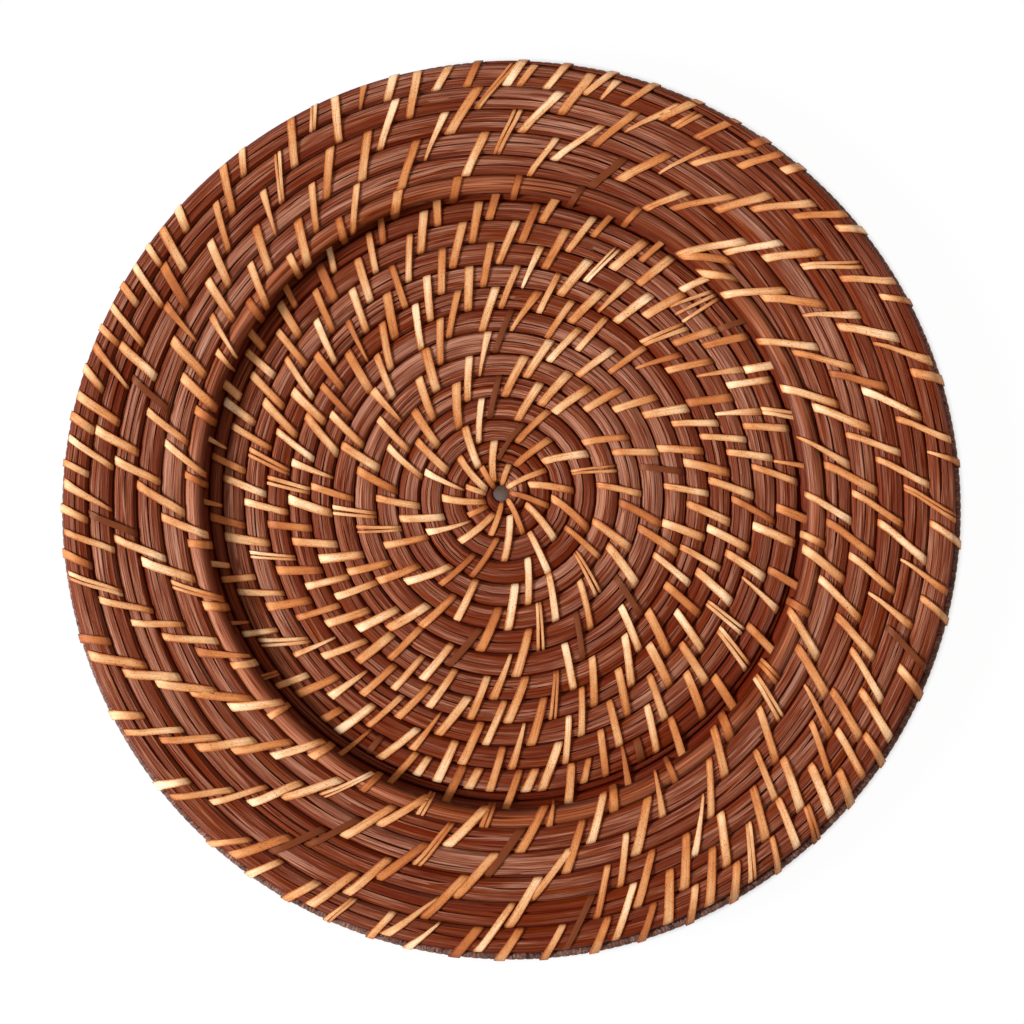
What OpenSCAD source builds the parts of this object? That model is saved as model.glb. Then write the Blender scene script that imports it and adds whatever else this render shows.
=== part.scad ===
// Coiled rattan charger plate: a bundle of splits wound out from a centre hole, held by peel stitches.
// Millimetres, +Z up, origin on the table under the centre of the outline.

/* [Plate] */
// Outer diameter, over the edge hoop
plate_d = 330; // [250:1:400]
// Diameter of the coiled floor inside the foot ring
floor_d = 218.2; // [160:0.2:260]
// Diameter of the hole where the coil starts
hole_d = 6; // [4:0.5:12]
// Rise of the rim from the shoulder to the edge
rim_rise = 3.4; // [0:0.1:8]
// Hand-made offset of the floor and shoulder to the right of the outline's centre
floor_x = -2.9; // [-6:0.1:6]
// Hand-made offset of the floor and shoulder away from the front
floor_y = 4.2; // [-6:0.1:6]

/* [Coil] */
// Turns of the floor coil between the hole and the foot ring
floor_turns = 12.94; // [12.1:0.02:13]
// Thickness of a row
row_h = 6; // [4:0.1:9]
// Open gap between two rows
row_gap = 1; // [0.8:0.05:2]
// Narrowest width of a row where it tapers out
taper_w = 1.2; // [0.8:0.1:4]
// Width of the foot ring under the shoulder
foot_w = 7.4; // [5:0.1:10]
// Diameter of the round shoulder rod
shoulder_d = 7.3; // [5:0.1:10]
// Diameter of the hoop along the edge
hoop_d = 3.2; // [2.5:0.1:6]

/* [Stitches] */
// Width of a peel strip
stitch_w = 3.4; // [2:0.1:5]
// Thickness of a peel strip
stitch_t = 0.6; // [0.4:0.05:0.7]
// Clearance between a strip and what it passes
stitch_clear = 0.1; // [0.05:0.05:0.15]
// Lean of the strips from the radius, in degrees
stitch_lean = 24; // [0:1:35]
// Stitches around the first row
first_stitches = 8; // [6:1:10]
// Widest spacing of the stitches on the floor
floor_stitch_space = 25; // [16:1:40]
// Widest spacing of the stitches on the rim
rim_stitch_space = 31; // [20:1:45]
// How much further along each rim row the stitches are set off from those of the row before
rim_set_off = 3; // [0:0.5:5]
// Seed of the uneven spacing
stitch_seed = 7; // [1:1:50]

/* [Hidden] */
$fn = 96;
floor_rings = 30;
rim_rings = 45;
// Rows between the shoulder and the edge, each with a node of stitches
rim_rows = 5;
// The coil starts at this angle, and the rim rows step outwards from ramp_start to ramp_end
floor_start = 60;
ramp_start = -5;
ramp_end = 115;
ramp_share = (ramp_end - ramp_start) / 360;
// Half-section of a row as shares of its half width and half height
section_shares = [[1, 0], [0.55, 1], [-0.55, 1], [-1, 0], [-0.55, -1], [0.55, -1]];
section_sides = len(section_shares);
spacing_jitter_share = 0.1;
first_width_share = 0.7;
lean_limit_share = 0.105;
edge_offset_share = 0.12;
corner_share = 1.2;
lap_share = 0.45;
hoop_drop_share = 0.5;
overrun = 1;

// Heights
strip_space = stitch_t + stitch_clear;
row_bottom = strip_space;
row_top = row_bottom + row_h;
row_z = row_bottom + row_h / 2;
shoulder_z = row_top + 2 * (strip_space + stitch_clear) + shoulder_d / 2;
hoop_z = shoulder_z + rim_rise - hoop_d * hoop_drop_share;

// Radii
floor_r = floor_d / 2;
foot_r = floor_r + (row_gap + foot_w) / 2;
shoulder_r = floor_r + row_gap / 2 + foot_w - shoulder_d / 2 + row_gap + stitch_clear;
shoulder_in = shoulder_r - shoulder_d / 2 - row_gap / 2;
rim_in = shoulder_r + shoulder_d / 2 + row_gap / 2;
floor_centre = [floor_x, floor_y];
edge_centre = floor_centre * edge_offset_share;
hoop_r = plate_d / 2 - strip_space - stitch_clear - hoop_d / 2;
rim_out = hoop_r - (hoop_d + row_gap) / 2 - norm(edge_centre);
rim_pitch = (rim_out - rim_in) / rim_rows;
floor_rows = ceil(floor_turns);
floor_pitch = (floor_r - hole_d / 2) / floor_turns;

// Places

function wrap(angle) = angle - 360 * floor(angle / 360);
function heading(angle) = [cos(angle), sin(angle)];
function smooth(x) = x * x * (3 - 2 * x);
function limit(x, low, high) = min(max(x, low), high);

// Radius of the line between two floor rows after so many turns
function floor_line(turns) = limit(hole_d / 2 + floor_pitch * turns, hole_d / 2, floor_r);
function floor_turn(angle) = wrap(angle - floor_start) / 360;
function on_floor(radius, angle) = floor_centre + radius * heading(angle);

// Share of the rim's width at the line between two rim rows after so many turns
function ramp(part) = smooth(limit((part - 1 + ramp_share) / ramp_share, 0, 1));
function rim_line(turns) = limit((floor(turns) + ramp(turns - floor(turns))) / rim_rows, 0, 1);
function rim_turn(angle) = wrap(angle - ramp_end) / 360;
function on_rim(share, angle) =
    (1 - share) * on_floor(rim_in, angle) + share * (edge_centre + rim_out * heading(angle));
function rim_z(share) = shoulder_z + rim_rise * share;

// Swept rows

// One ring of a row between two points, each [x, y, z], keeping half a gap from both
function row_ring(inner, outer) =
    let(
        span = norm(outer - inner),
        out = (outer - inner) / span,
        half_w = (span - row_gap) / 2,
        half_h = min(row_h / 2, half_w * corner_share),
        up = [0, 0, 1]
    )
    [for (s = section_shares) (inner + outer) / 2 + out * half_w * s[0] + up * half_h * s[1]];

function floor_ring(turns) =
    let(angle = floor_start + 360 * turns)
    row_ring(
        concat(on_floor(floor_line(turns), angle), row_z),
        concat(on_floor(floor_line(turns + 1), angle), row_z)
    );

function rim_ring(turns) =
    let(angle = ramp_end + 360 * turns, low = rim_line(turns), high = rim_line(turns + 1))
    row_ring(
        concat(on_rim(low, angle), rim_z(low)),
        concat(on_rim(high, angle), rim_z(high))
    );

floor_coil_rings = [
    for (i = [-floor_rings : floor_rings * floor_rows])
        let(low = floor_line(i / floor_rings), high = floor_line(i / floor_rings + 1))
        if (high - low > taper_w + row_gap) floor_ring(i / floor_rings)
];
rim_coil_rings = [
    for (i = [-rim_rings : rim_rings * rim_rows])
        let(low = rim_line(i / rim_rings), high = rim_line(i / rim_rings + 1))
        if ((high - low) * (rim_out - rim_in) > taper_w + row_gap) rim_ring(i / rim_rings)
];

// Least distance from a turn's outer line to the next turn's inner line, on the rings' points
function least_gap(rings, per_turn) = min([
    for (i = [1 : len(rings) - per_turn - 2])
        for (j = [-1 : 1])
            norm(rings[i][0] - rings[i + per_turn + j][3])
]);
echo(floor_coil_least_gap = least_gap(floor_coil_rings, floor_rings));
echo(rim_coil_least_gap = least_gap(rim_coil_rings, rim_rings));

module swept_row(rings) {
    last = len(rings) - 1;
    sides = [
        for (i = [0 : last - 1])
            for (s = [0 : section_sides - 1])
                let(
                    a = i * section_sides + s,
                    b = i * section_sides + (s + 1) % section_sides,
                    c = a + section_sides,
                    d = b + section_sides
                )
                each [[a, c, b], [b, c, d]]
    ];
    first_cap = [for (s = [1 : section_sides - 2]) [0, s, s + 1]];
    last_cap = [
        for (s = [1 : section_sides - 2])
            [last * section_sides, last * section_sides + s + 1, last * section_sides + s]
    ];
    polyhedron(points = [for (ring = rings) each ring], faces = concat(sides, first_cap, last_cap));
}

// Stitch angles, grown row by row: each stitch goes beside the one before it, and wide spaces get one more

// Near the centre the strips lean less, so that their ends stay in the curved gaps
function lean_at(radius, pitch) = min(stitch_lean, atan(lean_limit_share * (radius - pitch) / pitch));
function lean_shift(pitch, lean) = pitch * tan(lean) + stitch_w / cos(lean) + stitch_t;
function degrees_of(arc, radius) = arc / radius * 180 / PI;

function beside(angles, radius, pitch, space, set_off) =
    let(
        count = len(angles),
        shift = lean_shift(pitch, lean_at(radius, pitch)) + set_off,
        moved = [for (a = angles) a - degrees_of(shift, radius)]
    )
    [
        for (i = [0 : count - 1])
            let(
                next = i == count - 1 ? moved[0] + 360 : moved[i + 1],
                wide = (next - moved[i]) * radius * PI / 180 > space
            )
            each wide ? [moved[i], (moved[i] + next) / 2] : [moved[i]]
    ];

first_jitter = rands(-spacing_jitter_share, spacing_jitter_share, first_stitches, stitch_seed);
first_angles = [for (i = [0 : first_stitches - 1]) (i + first_jitter[i]) * 360 / first_stitches];

function mid_radius(row) =
    row <= floor_rows ? min(hole_d / 2 + floor_pitch * row, floor_r)
    : row == floor_rows + 1 ? shoulder_r
    : rim_in + (row - floor_rows - 2) * rim_pitch;
function row_pitch(row) = row <= floor_rows + 1 ? floor_pitch : rim_pitch;
function row_space(row) = row <= floor_rows ? floor_stitch_space : rim_stitch_space;
function row_set_off(row) = row <= floor_rows + 2 ? 0 : rim_set_off;

stitch_rows = floor_rows + 2 + rim_rows;
stitch_angles = [
    for (
        row = 1, angles = first_angles;
        row <= stitch_rows;
        row = row + 1,
        angles = beside(angles, mid_radius(row), row_pitch(row), row_space(row), row_set_off(row))
    )
    angles
];
// Foot stitches reach from the foot ring's far side to the line inside the last floor row
foot_angles = stitch_angles[floor_rows - 1];
foot_out = floor_r + row_gap + foot_w;
function foot_line(angle) =
    let(last_line = floor_line(floor_rows - 1 + floor_turn(angle)))
    floor_r - last_line > floor_pitch * lap_share ? last_line : last_line - floor_pitch;

// Shoulder stitches leave out the places where a floor stitch ends in the same gap
function lean_degrees(length, radius) = degrees_of(length * tan(stitch_lean), radius);
function gap_ends(row) = [
    for (angle = stitch_angles[row - 1])
        if (floor_line(row + 1 + floor_turn(angle)) > floor_r - row_gap)
            angle - lean_degrees(floor_r - mid_radius(row) - floor_pitch * floor_turn(angle), floor_r)
];
taken_ends = concat(gap_ends(floor_rows - 2), gap_ends(floor_rows - 1));
function between(a, b) = abs(wrap(a - b + 180) - 180);
shoulder_room = degrees_of(stitch_w / cos(stitch_lean) + stitch_t, floor_r);
shoulder_angles = [
    for (angle = stitch_angles[floor_rows])
        let(end = angle + lean_degrees((rim_in - floor_r) / 2, floor_r))
        if (min([for (taken = taken_ends) between(end, taken)]) > shoulder_room) angle
];
echo(stitches_per_row = [for (angles = stitch_angles) len(angles)], on_the_shoulder = len(shoulder_angles));

// One strip closed around what lies between inner and outer, each [x, y, z]

module strip(inner, outer, angle, low, high, lean = stitch_lean, width = stitch_w) {
    span = norm(outer - inner);
    tilt = asin((outer[2] - inner[2]) / span);
    half = span / 2 - stitch_t / 2;
    bend = stitch_t * corner_share;
    reach = width + span * tan(lean) + overrun;
    hole_low = low - stitch_clear;
    hole_high = high + stitch_clear;
    translate((inner + outer) / 2)
        rotate([0, 0, angle])
            rotate([0, -tilt, 0])
                intersection() {
                    rotate([90, 0, 0])
                        linear_extrude(height = 2 * reach, center = true)
                            polygon(
                                points = concat(
                                    cut_corners(half + stitch_t, hole_low - stitch_t, hole_high + stitch_t, bend),
                                    cut_corners(half, hole_low, hole_high, bend)
                                ),
                                paths = [[0, 1, 2, 3, 4, 5, 6, 7], [8, 9, 10, 11, 12, 13, 14, 15]]
                            );
                    translate([0, 0, hole_low - stitch_t - overrun])
                        linear_extrude(height = hole_high - hole_low + 2 * (stitch_t + overrun))
                            polygon(strip_plan(half + stitch_t, lean, width));
                }
}

// The groove that a level strip presses into what it passes under
module strip_groove(inner, outer, angle) {
    translate(concat((inner + outer) / 2, -overrun))
        rotate([0, 0, angle])
            linear_extrude(height = strip_space + overrun)
                polygon(strip_plan(norm(outer - inner) / 2 + overrun, stitch_lean, stitch_w + 2 * stitch_clear));
}

// A leaning strip from above, with its ends along the rows
function strip_plan(half, lean, width) =
    let(sway = half * tan(lean), side = width / cos(lean) / 2)
    [[half, -sway - side], [half, side - sway], [-half, sway + side], [-half, sway - side]];

function cut_corners(half, low, high, bend) = [
    [half - bend, low], [half, low + bend], [half, high - bend], [half - bend, high],
    [bend - half, high], [-half, high - bend], [-half, low + bend], [bend - half, low]
];

// Sub-parts

module floor_coil() {
    color([0.33, 0.18, 0.14]) swept_row(floor_coil_rings);
}

module foot_ring() {
    half_h = row_top / 2;
    color([0.31, 0.17, 0.13])
        difference() {
            translate([floor_x, floor_y, half_h])
                rotate_extrude()
                    translate([foot_r, 0])
                        polygon([for (s = section_shares) [foot_w / 2 * s[0], half_h * s[1]]]);
            for (angle = foot_angles)
                strip_groove(on_floor(foot_line(angle), angle), on_floor(foot_out, angle), angle);
            for (angle = shoulder_angles)
                strip_groove(on_floor(floor_r, angle), on_floor(rim_in, angle), angle);
        }
}

module shoulder_rod() {
    color([0.36, 0.17, 0.12])
        translate([floor_x, floor_y, shoulder_z])
            rotate_extrude()
                translate([shoulder_r, 0])
                    circle(d = shoulder_d);
}

module rim_coil() {
    color([0.35, 0.2, 0.15]) swept_row(rim_coil_rings);
}

module edge_hoop() {
    color([0.3, 0.2, 0.18])
        translate([0, 0, hoop_z])
            rotate_extrude()
                translate([hoop_r, 0])
                    circle(d = hoop_d);
}

module floor_stitches(row) {
    half_row = row_h / 2;
    color([0.87, 0.6, 0.32])
        for (angle = stitch_angles[row - 1]) {
            turn = floor_turn(angle);
            inner_r = floor_line(row - 1 + turn);
            outer_r = floor_line(row + 1 + turn);
            first_w = hole_d * PI / first_stitches * first_width_share;
            mid_line = floor_line(row + turn);
            if (mid_line < floor_r - taper_w - row_gap)
                strip(
                    concat(on_floor(inner_r, angle), row_z),
                    concat(on_floor(outer_r, angle), row_z),
                    angle, -half_row, half_row,
                    lean_at(mid_radius(row), floor_pitch), row == 1 ? first_w : stitch_w
                );
        }
}

module foot_stitches() {
    half_row = row_h / 2;
    color([0.85, 0.57, 0.3])
        for (angle = foot_angles)
            strip(
                concat(on_floor(foot_line(angle), angle), row_z),
                concat(on_floor(foot_out, angle), row_z),
                angle, -half_row, half_row
            );
}

module shoulder_stitches() {
    color([0.83, 0.53, 0.27])
        for (angle = shoulder_angles)
            strip(
                concat(on_floor(floor_r, angle), row_bottom),
                concat(on_floor(rim_in, angle), row_bottom),
                angle, 0, shoulder_z + shoulder_d / 2 - row_bottom
            );
}

module rim_stitches(row) {
    tall = row == 1 ? shoulder_d / 2 : row_h / 2;
    color([0.88, 0.62, 0.34])
        for (angle = stitch_angles[floor_rows + row]) {
            turn = rim_turn(angle);
            low = rim_line(row - 2 + turn);
            high = rim_line(row + turn);
            over_shoulder = row == 1 && rim_line(turn) * rim_rows < lap_share;
            inner = over_shoulder
                ? concat(on_floor(shoulder_in, angle), shoulder_z)
                : concat(on_rim(low, angle), rim_z(low));
            strip(
                inner,
                concat(on_rim(high, angle), rim_z(high)),
                angle, -tall, tall
            );
        }
}

module edge_stitches() {
    half_row = row_h / 2;
    out_r = plate_d / 2 - stitch_clear - stitch_t / 2;
    color([0.84, 0.56, 0.3])
        for (angle = stitch_angles[stitch_rows - 1]) {
            turn = rim_turn(angle);
            last_line = rim_line(rim_rows - 1 + turn);
            low = (1 - last_line) * rim_rows > lap_share ? last_line : rim_line(rim_rows - 2 + turn);
            strip(
                concat(on_rim(low, angle), rim_z(1)),
                concat(out_r * heading(angle), rim_z(1)),
                angle, min(hoop_z - hoop_d / 2, rim_z(low) - half_row) - rim_z(1), half_row
            );
        }
}

floor_coil();
foot_ring();
shoulder_rod();
rim_coil();
edge_hoop();
floor_stitches(1);  // floor_stitches_01
floor_stitches(2);  // floor_stitches_02
floor_stitches(3);  // floor_stitches_03
floor_stitches(4);  // floor_stitches_04
floor_stitches(5);  // floor_stitches_05
floor_stitches(6);  // floor_stitches_06
floor_stitches(7);  // floor_stitches_07
floor_stitches(8);  // floor_stitches_08
floor_stitches(9);  // floor_stitches_09
floor_stitches(10);  // floor_stitches_10
floor_stitches(11);  // floor_stitches_11
floor_stitches(12);  // floor_stitches_12
foot_stitches();
shoulder_stitches();
rim_stitches(1);  // rim_stitches_1
rim_stitches(2);  // rim_stitches_2
rim_stitches(3);  // rim_stitches_3
rim_stitches(4);  // rim_stitches_4
rim_stitches(5);  // rim_stitches_5
edge_stitches();
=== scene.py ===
"""Coiled rattan charger plate: the looks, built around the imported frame.

Metres, +Z up, with the origin on the table under the middle of the outline.
"""

import logging
import math
from dataclasses import dataclass, field
from enum import Enum

import bmesh
import bpy
import numpy as np
from mathutils import Matrix, Vector


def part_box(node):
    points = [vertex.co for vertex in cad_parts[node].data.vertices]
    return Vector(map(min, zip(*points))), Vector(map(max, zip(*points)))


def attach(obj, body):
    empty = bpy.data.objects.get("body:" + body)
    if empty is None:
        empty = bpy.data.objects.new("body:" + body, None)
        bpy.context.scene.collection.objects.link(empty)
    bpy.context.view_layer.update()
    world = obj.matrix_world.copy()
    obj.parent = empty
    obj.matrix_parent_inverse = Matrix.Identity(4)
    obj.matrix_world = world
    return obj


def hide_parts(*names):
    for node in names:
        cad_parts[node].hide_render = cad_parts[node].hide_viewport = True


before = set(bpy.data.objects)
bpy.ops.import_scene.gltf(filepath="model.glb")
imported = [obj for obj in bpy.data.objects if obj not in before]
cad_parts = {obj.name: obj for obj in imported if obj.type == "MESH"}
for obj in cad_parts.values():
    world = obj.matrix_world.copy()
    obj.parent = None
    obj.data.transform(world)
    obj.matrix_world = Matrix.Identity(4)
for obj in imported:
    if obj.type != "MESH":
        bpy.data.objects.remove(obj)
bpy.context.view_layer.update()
LOG = logging.getLogger("charger_plate")

MM = 0.001
TURN = 2 * math.pi
UP = np.array([0.0, 0.0, 1.0])
WELD = 1e-7
SAME_POINT = 1e-6
NEUTRAL = 0.5
GRAIN_MAP = "grain"
SHARP_EDGE = math.radians(55)
WAVE_PARTS = ((1, 0.55), (2.3, 0.3), (4.9, 0.15))

# The winding and the stitches, as the part's own source gives them
FLOOR_TURNS = 12.94
FLOOR_START = math.radians(60)
RIM_ROWS = 5
RAMP_START = math.radians(-5)
RAMP_END = math.radians(115)
EDGE_OFFSET_SHARE = 0.12
HOOP_DROP_SHARE = 0.5
CORNER_SHARE = 1.2
LAP_SHARE = 0.45
TAPER_W = 1.2 * MM
STRIP_CLEAR = 0.1 * MM
FIRST_STRIPS = 8
CAD_LEAN = math.radians(24)
CAD_LEAN_LIMIT_SHARE = 0.105

# How full the shown rows are, and how finely they are built
ROW_SHOWN_GAP = 0.15 * MM
RIM_START_PRESS = 0.7 * MM
FOOT_FILL_SHARE = 0.65
PACKING_W = 3.6 * MM
PACKING_PRESS = 0.6 * MM
FLOOR_CORNERS = 0.66
RIM_CORNERS = 0.6
FOOT_CORNERS = 0.76
FOOT_STATIONS = 170
FINE_PER_TURN = 200

# A split's section, in half widths across and half thicknesses up, and the least row that is built
SPLIT_ACROSS = np.array([0.0, -1.0, -0.84, 0.84, 1.0])
SPLIT_RAISED = np.array([-1.0, -0.2, 0.9, 0.9, -0.2])
SPLIT_W = 0.5 * MM
SPLIT_H = 0.8 * MM

# How far this plate is out of round, and where its hoop shows, as in the photo
HOLE_DRIFT = np.array([-0.84, 2.1, 0.0]) * MM
SHOULDER_WIDER = 0.4 * MM
SHOULDER_SHIFT = 1.1 * MM
SHOULDER_SHIFT_WAY = math.radians(-57)
SHOULDER_OVAL = 1.7 * MM
SHOULDER_OVAL_WAY = math.radians(-65)
FLOOR_FOLLOWS = 0.7
FLOOR_FOLLOWS_FROM = 0.375
FOOT_FOLLOWS = 0.8
HOOP_SHOWN_LEAST = 0.1 * MM
HOOP_SHOWN_MORE = 2.8 * MM
HOOP_SHOWN_WAY = math.radians(-65)

# The strips: what they tie, their width and their lean
TIED_W = 3 * MM
NARROW_ROWS = 4
INNER_W = 2.7 * MM
FLOOR_W = 3.1 * MM
AMPLE_ROOM = 1.0
ROOM_SHARE = 0.62
INNER_ROWS = 5
INNER_LEAN = math.radians(17)
FLOOR_LEAN = math.radians(19)
RIM_LEAN = math.radians(31.5)
RIM_LEAN_CHANGE = math.radians(5)
RIM_LEAN_MOST = math.radians(62)
FRAYED_ROW = 11

# The strips round the splice of the rod: step back, width, tone and what is left at the ends
SPLICE_ANGLE = math.radians(50)
SPLICE_LEAN = math.radians(54)
SPLICE_STEP = math.radians(4)
SPLICE_WRAPS = ((0, 3.4 * MM, 0.42, (0.7, 1.0)), (1, 2.9 * MM, 0.6, (1.0, 0.9)))

# Stain, the side towards which the rows are lighter, the middle of a strip on its grain map, and how shade
# and grain differ from strip to strip
STAIN_CHANGE = 0.42
LIGHTER_SIDE_WAY = math.radians(105)
PEEL_CROWN = 0.6
SHADE_SCATTER = 977
SHADE_TURNED = -0.35
GRAIN_PER_ANGLE = 7
GRAIN_PER_WIDTH = 900


def srgb(red: float, green: float, blue: float) -> tuple[float, float, float, float]:
    """Turns a screen colour into the linear colour that a shader takes.

    Args:
        red: Red from 0 to 255.
        green: Green from 0 to 255.
        blue: Blue from 0 to 255.

    Returns:
        Linear red, green, blue and an alpha of 1.
    """
    shares = [value / 255 for value in (red, green, blue)]
    linear = [s / 12.92 if s <= 0.04045 else ((s + 0.055) / 1.055) ** 2.4 for s in shares]
    return (*linear, 1.0)


def node_points(node: str) -> np.ndarray:
    """Reads the points of a CAD node.

    Args:
        node: The node's name.

    Returns:
        One row for each vertex.
    """
    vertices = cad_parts[node].data.vertices
    flat = np.empty(len(vertices) * 3, np.float32)
    vertices.foreach_get("co", flat)
    return flat.reshape(-1, 3).astype(float)


def solid_centres(node: str) -> np.ndarray:
    """Finds the middle of each separate solid in a CAD node.

    Args:
        node: The node's name.

    Returns:
        One row for each solid.
    """
    shape = bmesh.new()
    shape.from_mesh(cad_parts[node].data)
    bmesh.ops.remove_doubles(shape, verts=shape.verts, dist=SAME_POINT)
    unseen = set(shape.verts)
    centres = []
    for first in list(shape.verts):
        if first not in unseen:
            continue
        unseen.discard(first)
        solid = [first]
        for vert in solid:
            near = [edge.other_vert(vert) for edge in vert.link_edges]
            fresh = [other for other in near if other in unseen]
            unseen.difference_update(fresh)
            solid.extend(dict.fromkeys(fresh))
        centres.append(np.mean([vert.co for vert in solid], axis=0))
    shape.free()
    return np.array(centres)


def heading(angle: np.ndarray) -> np.ndarray:
    """Gives the level direction at an angle, as rows of three numbers."""
    angle = np.asarray(angle, float)
    return np.stack([np.cos(angle), np.sin(angle), np.zeros_like(angle)], axis=-1)


def shoulder_bulge(angle: np.ndarray) -> np.ndarray:
    """Gives how far outside its circle the shoulder lies at an angle, as the photo shows it."""
    shift = SHOULDER_SHIFT * np.cos(angle - SHOULDER_SHIFT_WAY)
    return SHOULDER_WIDER + shift + SHOULDER_OVAL * np.cos(2 * (angle - SHOULDER_OVAL_WAY))


def fuller(value: np.ndarray, power: float) -> np.ndarray:
    """Raises a number's size to a power and keeps its sign."""
    return np.sign(value) * np.abs(value) ** power


def smooth_noise(rng: np.random.Generator, count: int, waves: float) -> np.ndarray:
    """Makes a slow random curve between about -1 and 1.

    Args:
        rng: The seeded source of chance.
        count: Number of values.
        waves: Number of waves of the slowest part over the whole length.

    Returns:
        The values in order.
    """
    along = np.linspace(0, TURN * waves, count)
    curve = np.zeros(count)
    for octave, weight in WAVE_PARTS:
        curve += weight * np.sin(octave * along + rng.uniform(0, TURN))
    return curve


@dataclass(frozen=True)
class PlateSizes:
    """Sizes of the plate, read from the frame."""

    floor_centre: np.ndarray
    row_gap: float
    hole_r: float
    floor_r: float
    row_bottom: float
    row_top: float
    foot_r: float
    foot_w: float
    foot_top: float
    shoulder_r: float
    shoulder_d: float
    shoulder_z: float
    hoop_r: float
    hoop_d: float
    hoop_z: float

    @classmethod
    def from_frame(cls) -> "PlateSizes":
        """Measures the CAD nodes.

        Returns:
            The sizes, in metres.
        """
        rod_low, rod_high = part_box("shoulder_rod")
        hoop_low, hoop_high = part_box("edge_hoop")
        centre = np.array((rod_low + rod_high) / 2) * [1, 1, 0]
        floor_points = node_points("floor_coil")
        foot_points = node_points("foot_ring")
        floor_radii = np.linalg.norm((floor_points - centre)[:, :2], axis=1)
        foot_radii = np.linalg.norm((foot_points - centre)[:, :2], axis=1)
        gap = foot_radii.min() - floor_radii.max()
        rod_d = rod_high.z - rod_low.z
        hoop_d = hoop_high.z - hoop_low.z
        return cls(
            floor_centre=centre,
            row_gap=gap,
            hole_r=floor_radii.min() - gap / 2,
            floor_r=floor_radii.max() + gap / 2,
            row_bottom=floor_points[:, 2].min(),
            row_top=floor_points[:, 2].max(),
            foot_r=(foot_radii.min() + foot_radii.max()) / 2,
            foot_w=foot_radii.max() - foot_radii.min(),
            foot_top=foot_points[:, 2].max(),
            shoulder_r=(rod_high.x - rod_low.x - rod_d) / 2,
            shoulder_d=rod_d,
            shoulder_z=(rod_low.z + rod_high.z) / 2,
            hoop_r=(hoop_high.x - hoop_low.x - hoop_d) / 2,
            hoop_d=hoop_d,
            hoop_z=(hoop_low.z + hoop_high.z) / 2,
        )

    @property
    def row_h(self) -> float:
        """Thickness of a row."""
        return self.row_top - self.row_bottom

    @property
    def row_z(self) -> float:
        """Height of the middle of a floor row."""
        return (self.row_top + self.row_bottom) / 2

    @property
    def floor_pitch(self) -> float:
        """Row spacing on the floor."""
        return (self.floor_r - self.hole_r) / FLOOR_TURNS

    @property
    def edge_centre(self) -> np.ndarray:
        """Centre of the circle along the last rim row."""
        return self.floor_centre * EDGE_OFFSET_SHARE

    @property
    def rim_in(self) -> float:
        """Radius where the rim rows start."""
        return self.shoulder_r + (self.shoulder_d + self.row_gap) / 2

    @property
    def rim_out(self) -> float:
        """Radius where the rim rows end."""
        return self.hoop_r - (self.hoop_d + self.row_gap) / 2 - np.linalg.norm(self.edge_centre)

    @property
    def rim_rise(self) -> float:
        """Rise of the rim from the shoulder to the edge."""
        return self.hoop_z + self.hoop_d * HOOP_DROP_SHARE - self.shoulder_z

    @property
    def strip_t(self) -> float:
        """Thickness of a peel strip."""
        return self.row_bottom - STRIP_CLEAR


@dataclass(frozen=True)
class Oval:
    """The section of a row, rod or hoop at each of several stations, round or with fuller corners."""

    centre: np.ndarray
    out: np.ndarray
    half_w: np.ndarray
    half_h: np.ndarray
    power: float = 1.0

    def place(self, angle: np.ndarray, proud: float = 0.0) -> np.ndarray:
        """Finds the point on or over the oval at an angle from its outer side.

        Args:
            angle: Angle of each station in the section, in radians.
            proud: Height of the point over the oval.

        Returns:
            One point for each station.
        """
        across = (self.half_w + proud) * fuller(np.cos(angle), self.power)
        above = (self.half_h + proud) * fuller(np.sin(angle), self.power)
        return self.centre + self.out * across[:, None] + UP * above[:, None]

    def facing(self, angle: np.ndarray) -> tuple[np.ndarray, np.ndarray]:
        """Finds which way the oval faces at an angle.

        Args:
            angle: Angle of each station in the section, in radians.

        Returns:
            Shares of the outward and the upward direction, at each station.
        """
        across = fuller(np.cos(angle), 2 - self.power) / self.half_w
        above = fuller(np.sin(angle), 2 - self.power) / self.half_h
        length = np.hypot(across, above)
        return across / length, above / length

    def part(self, stations: np.ndarray) -> "Oval":
        """Keeps only some stations."""
        kept = (values[stations] for values in (self.centre, self.out, self.half_w, self.half_h))
        return Oval(*kept, power=self.power)


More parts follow.
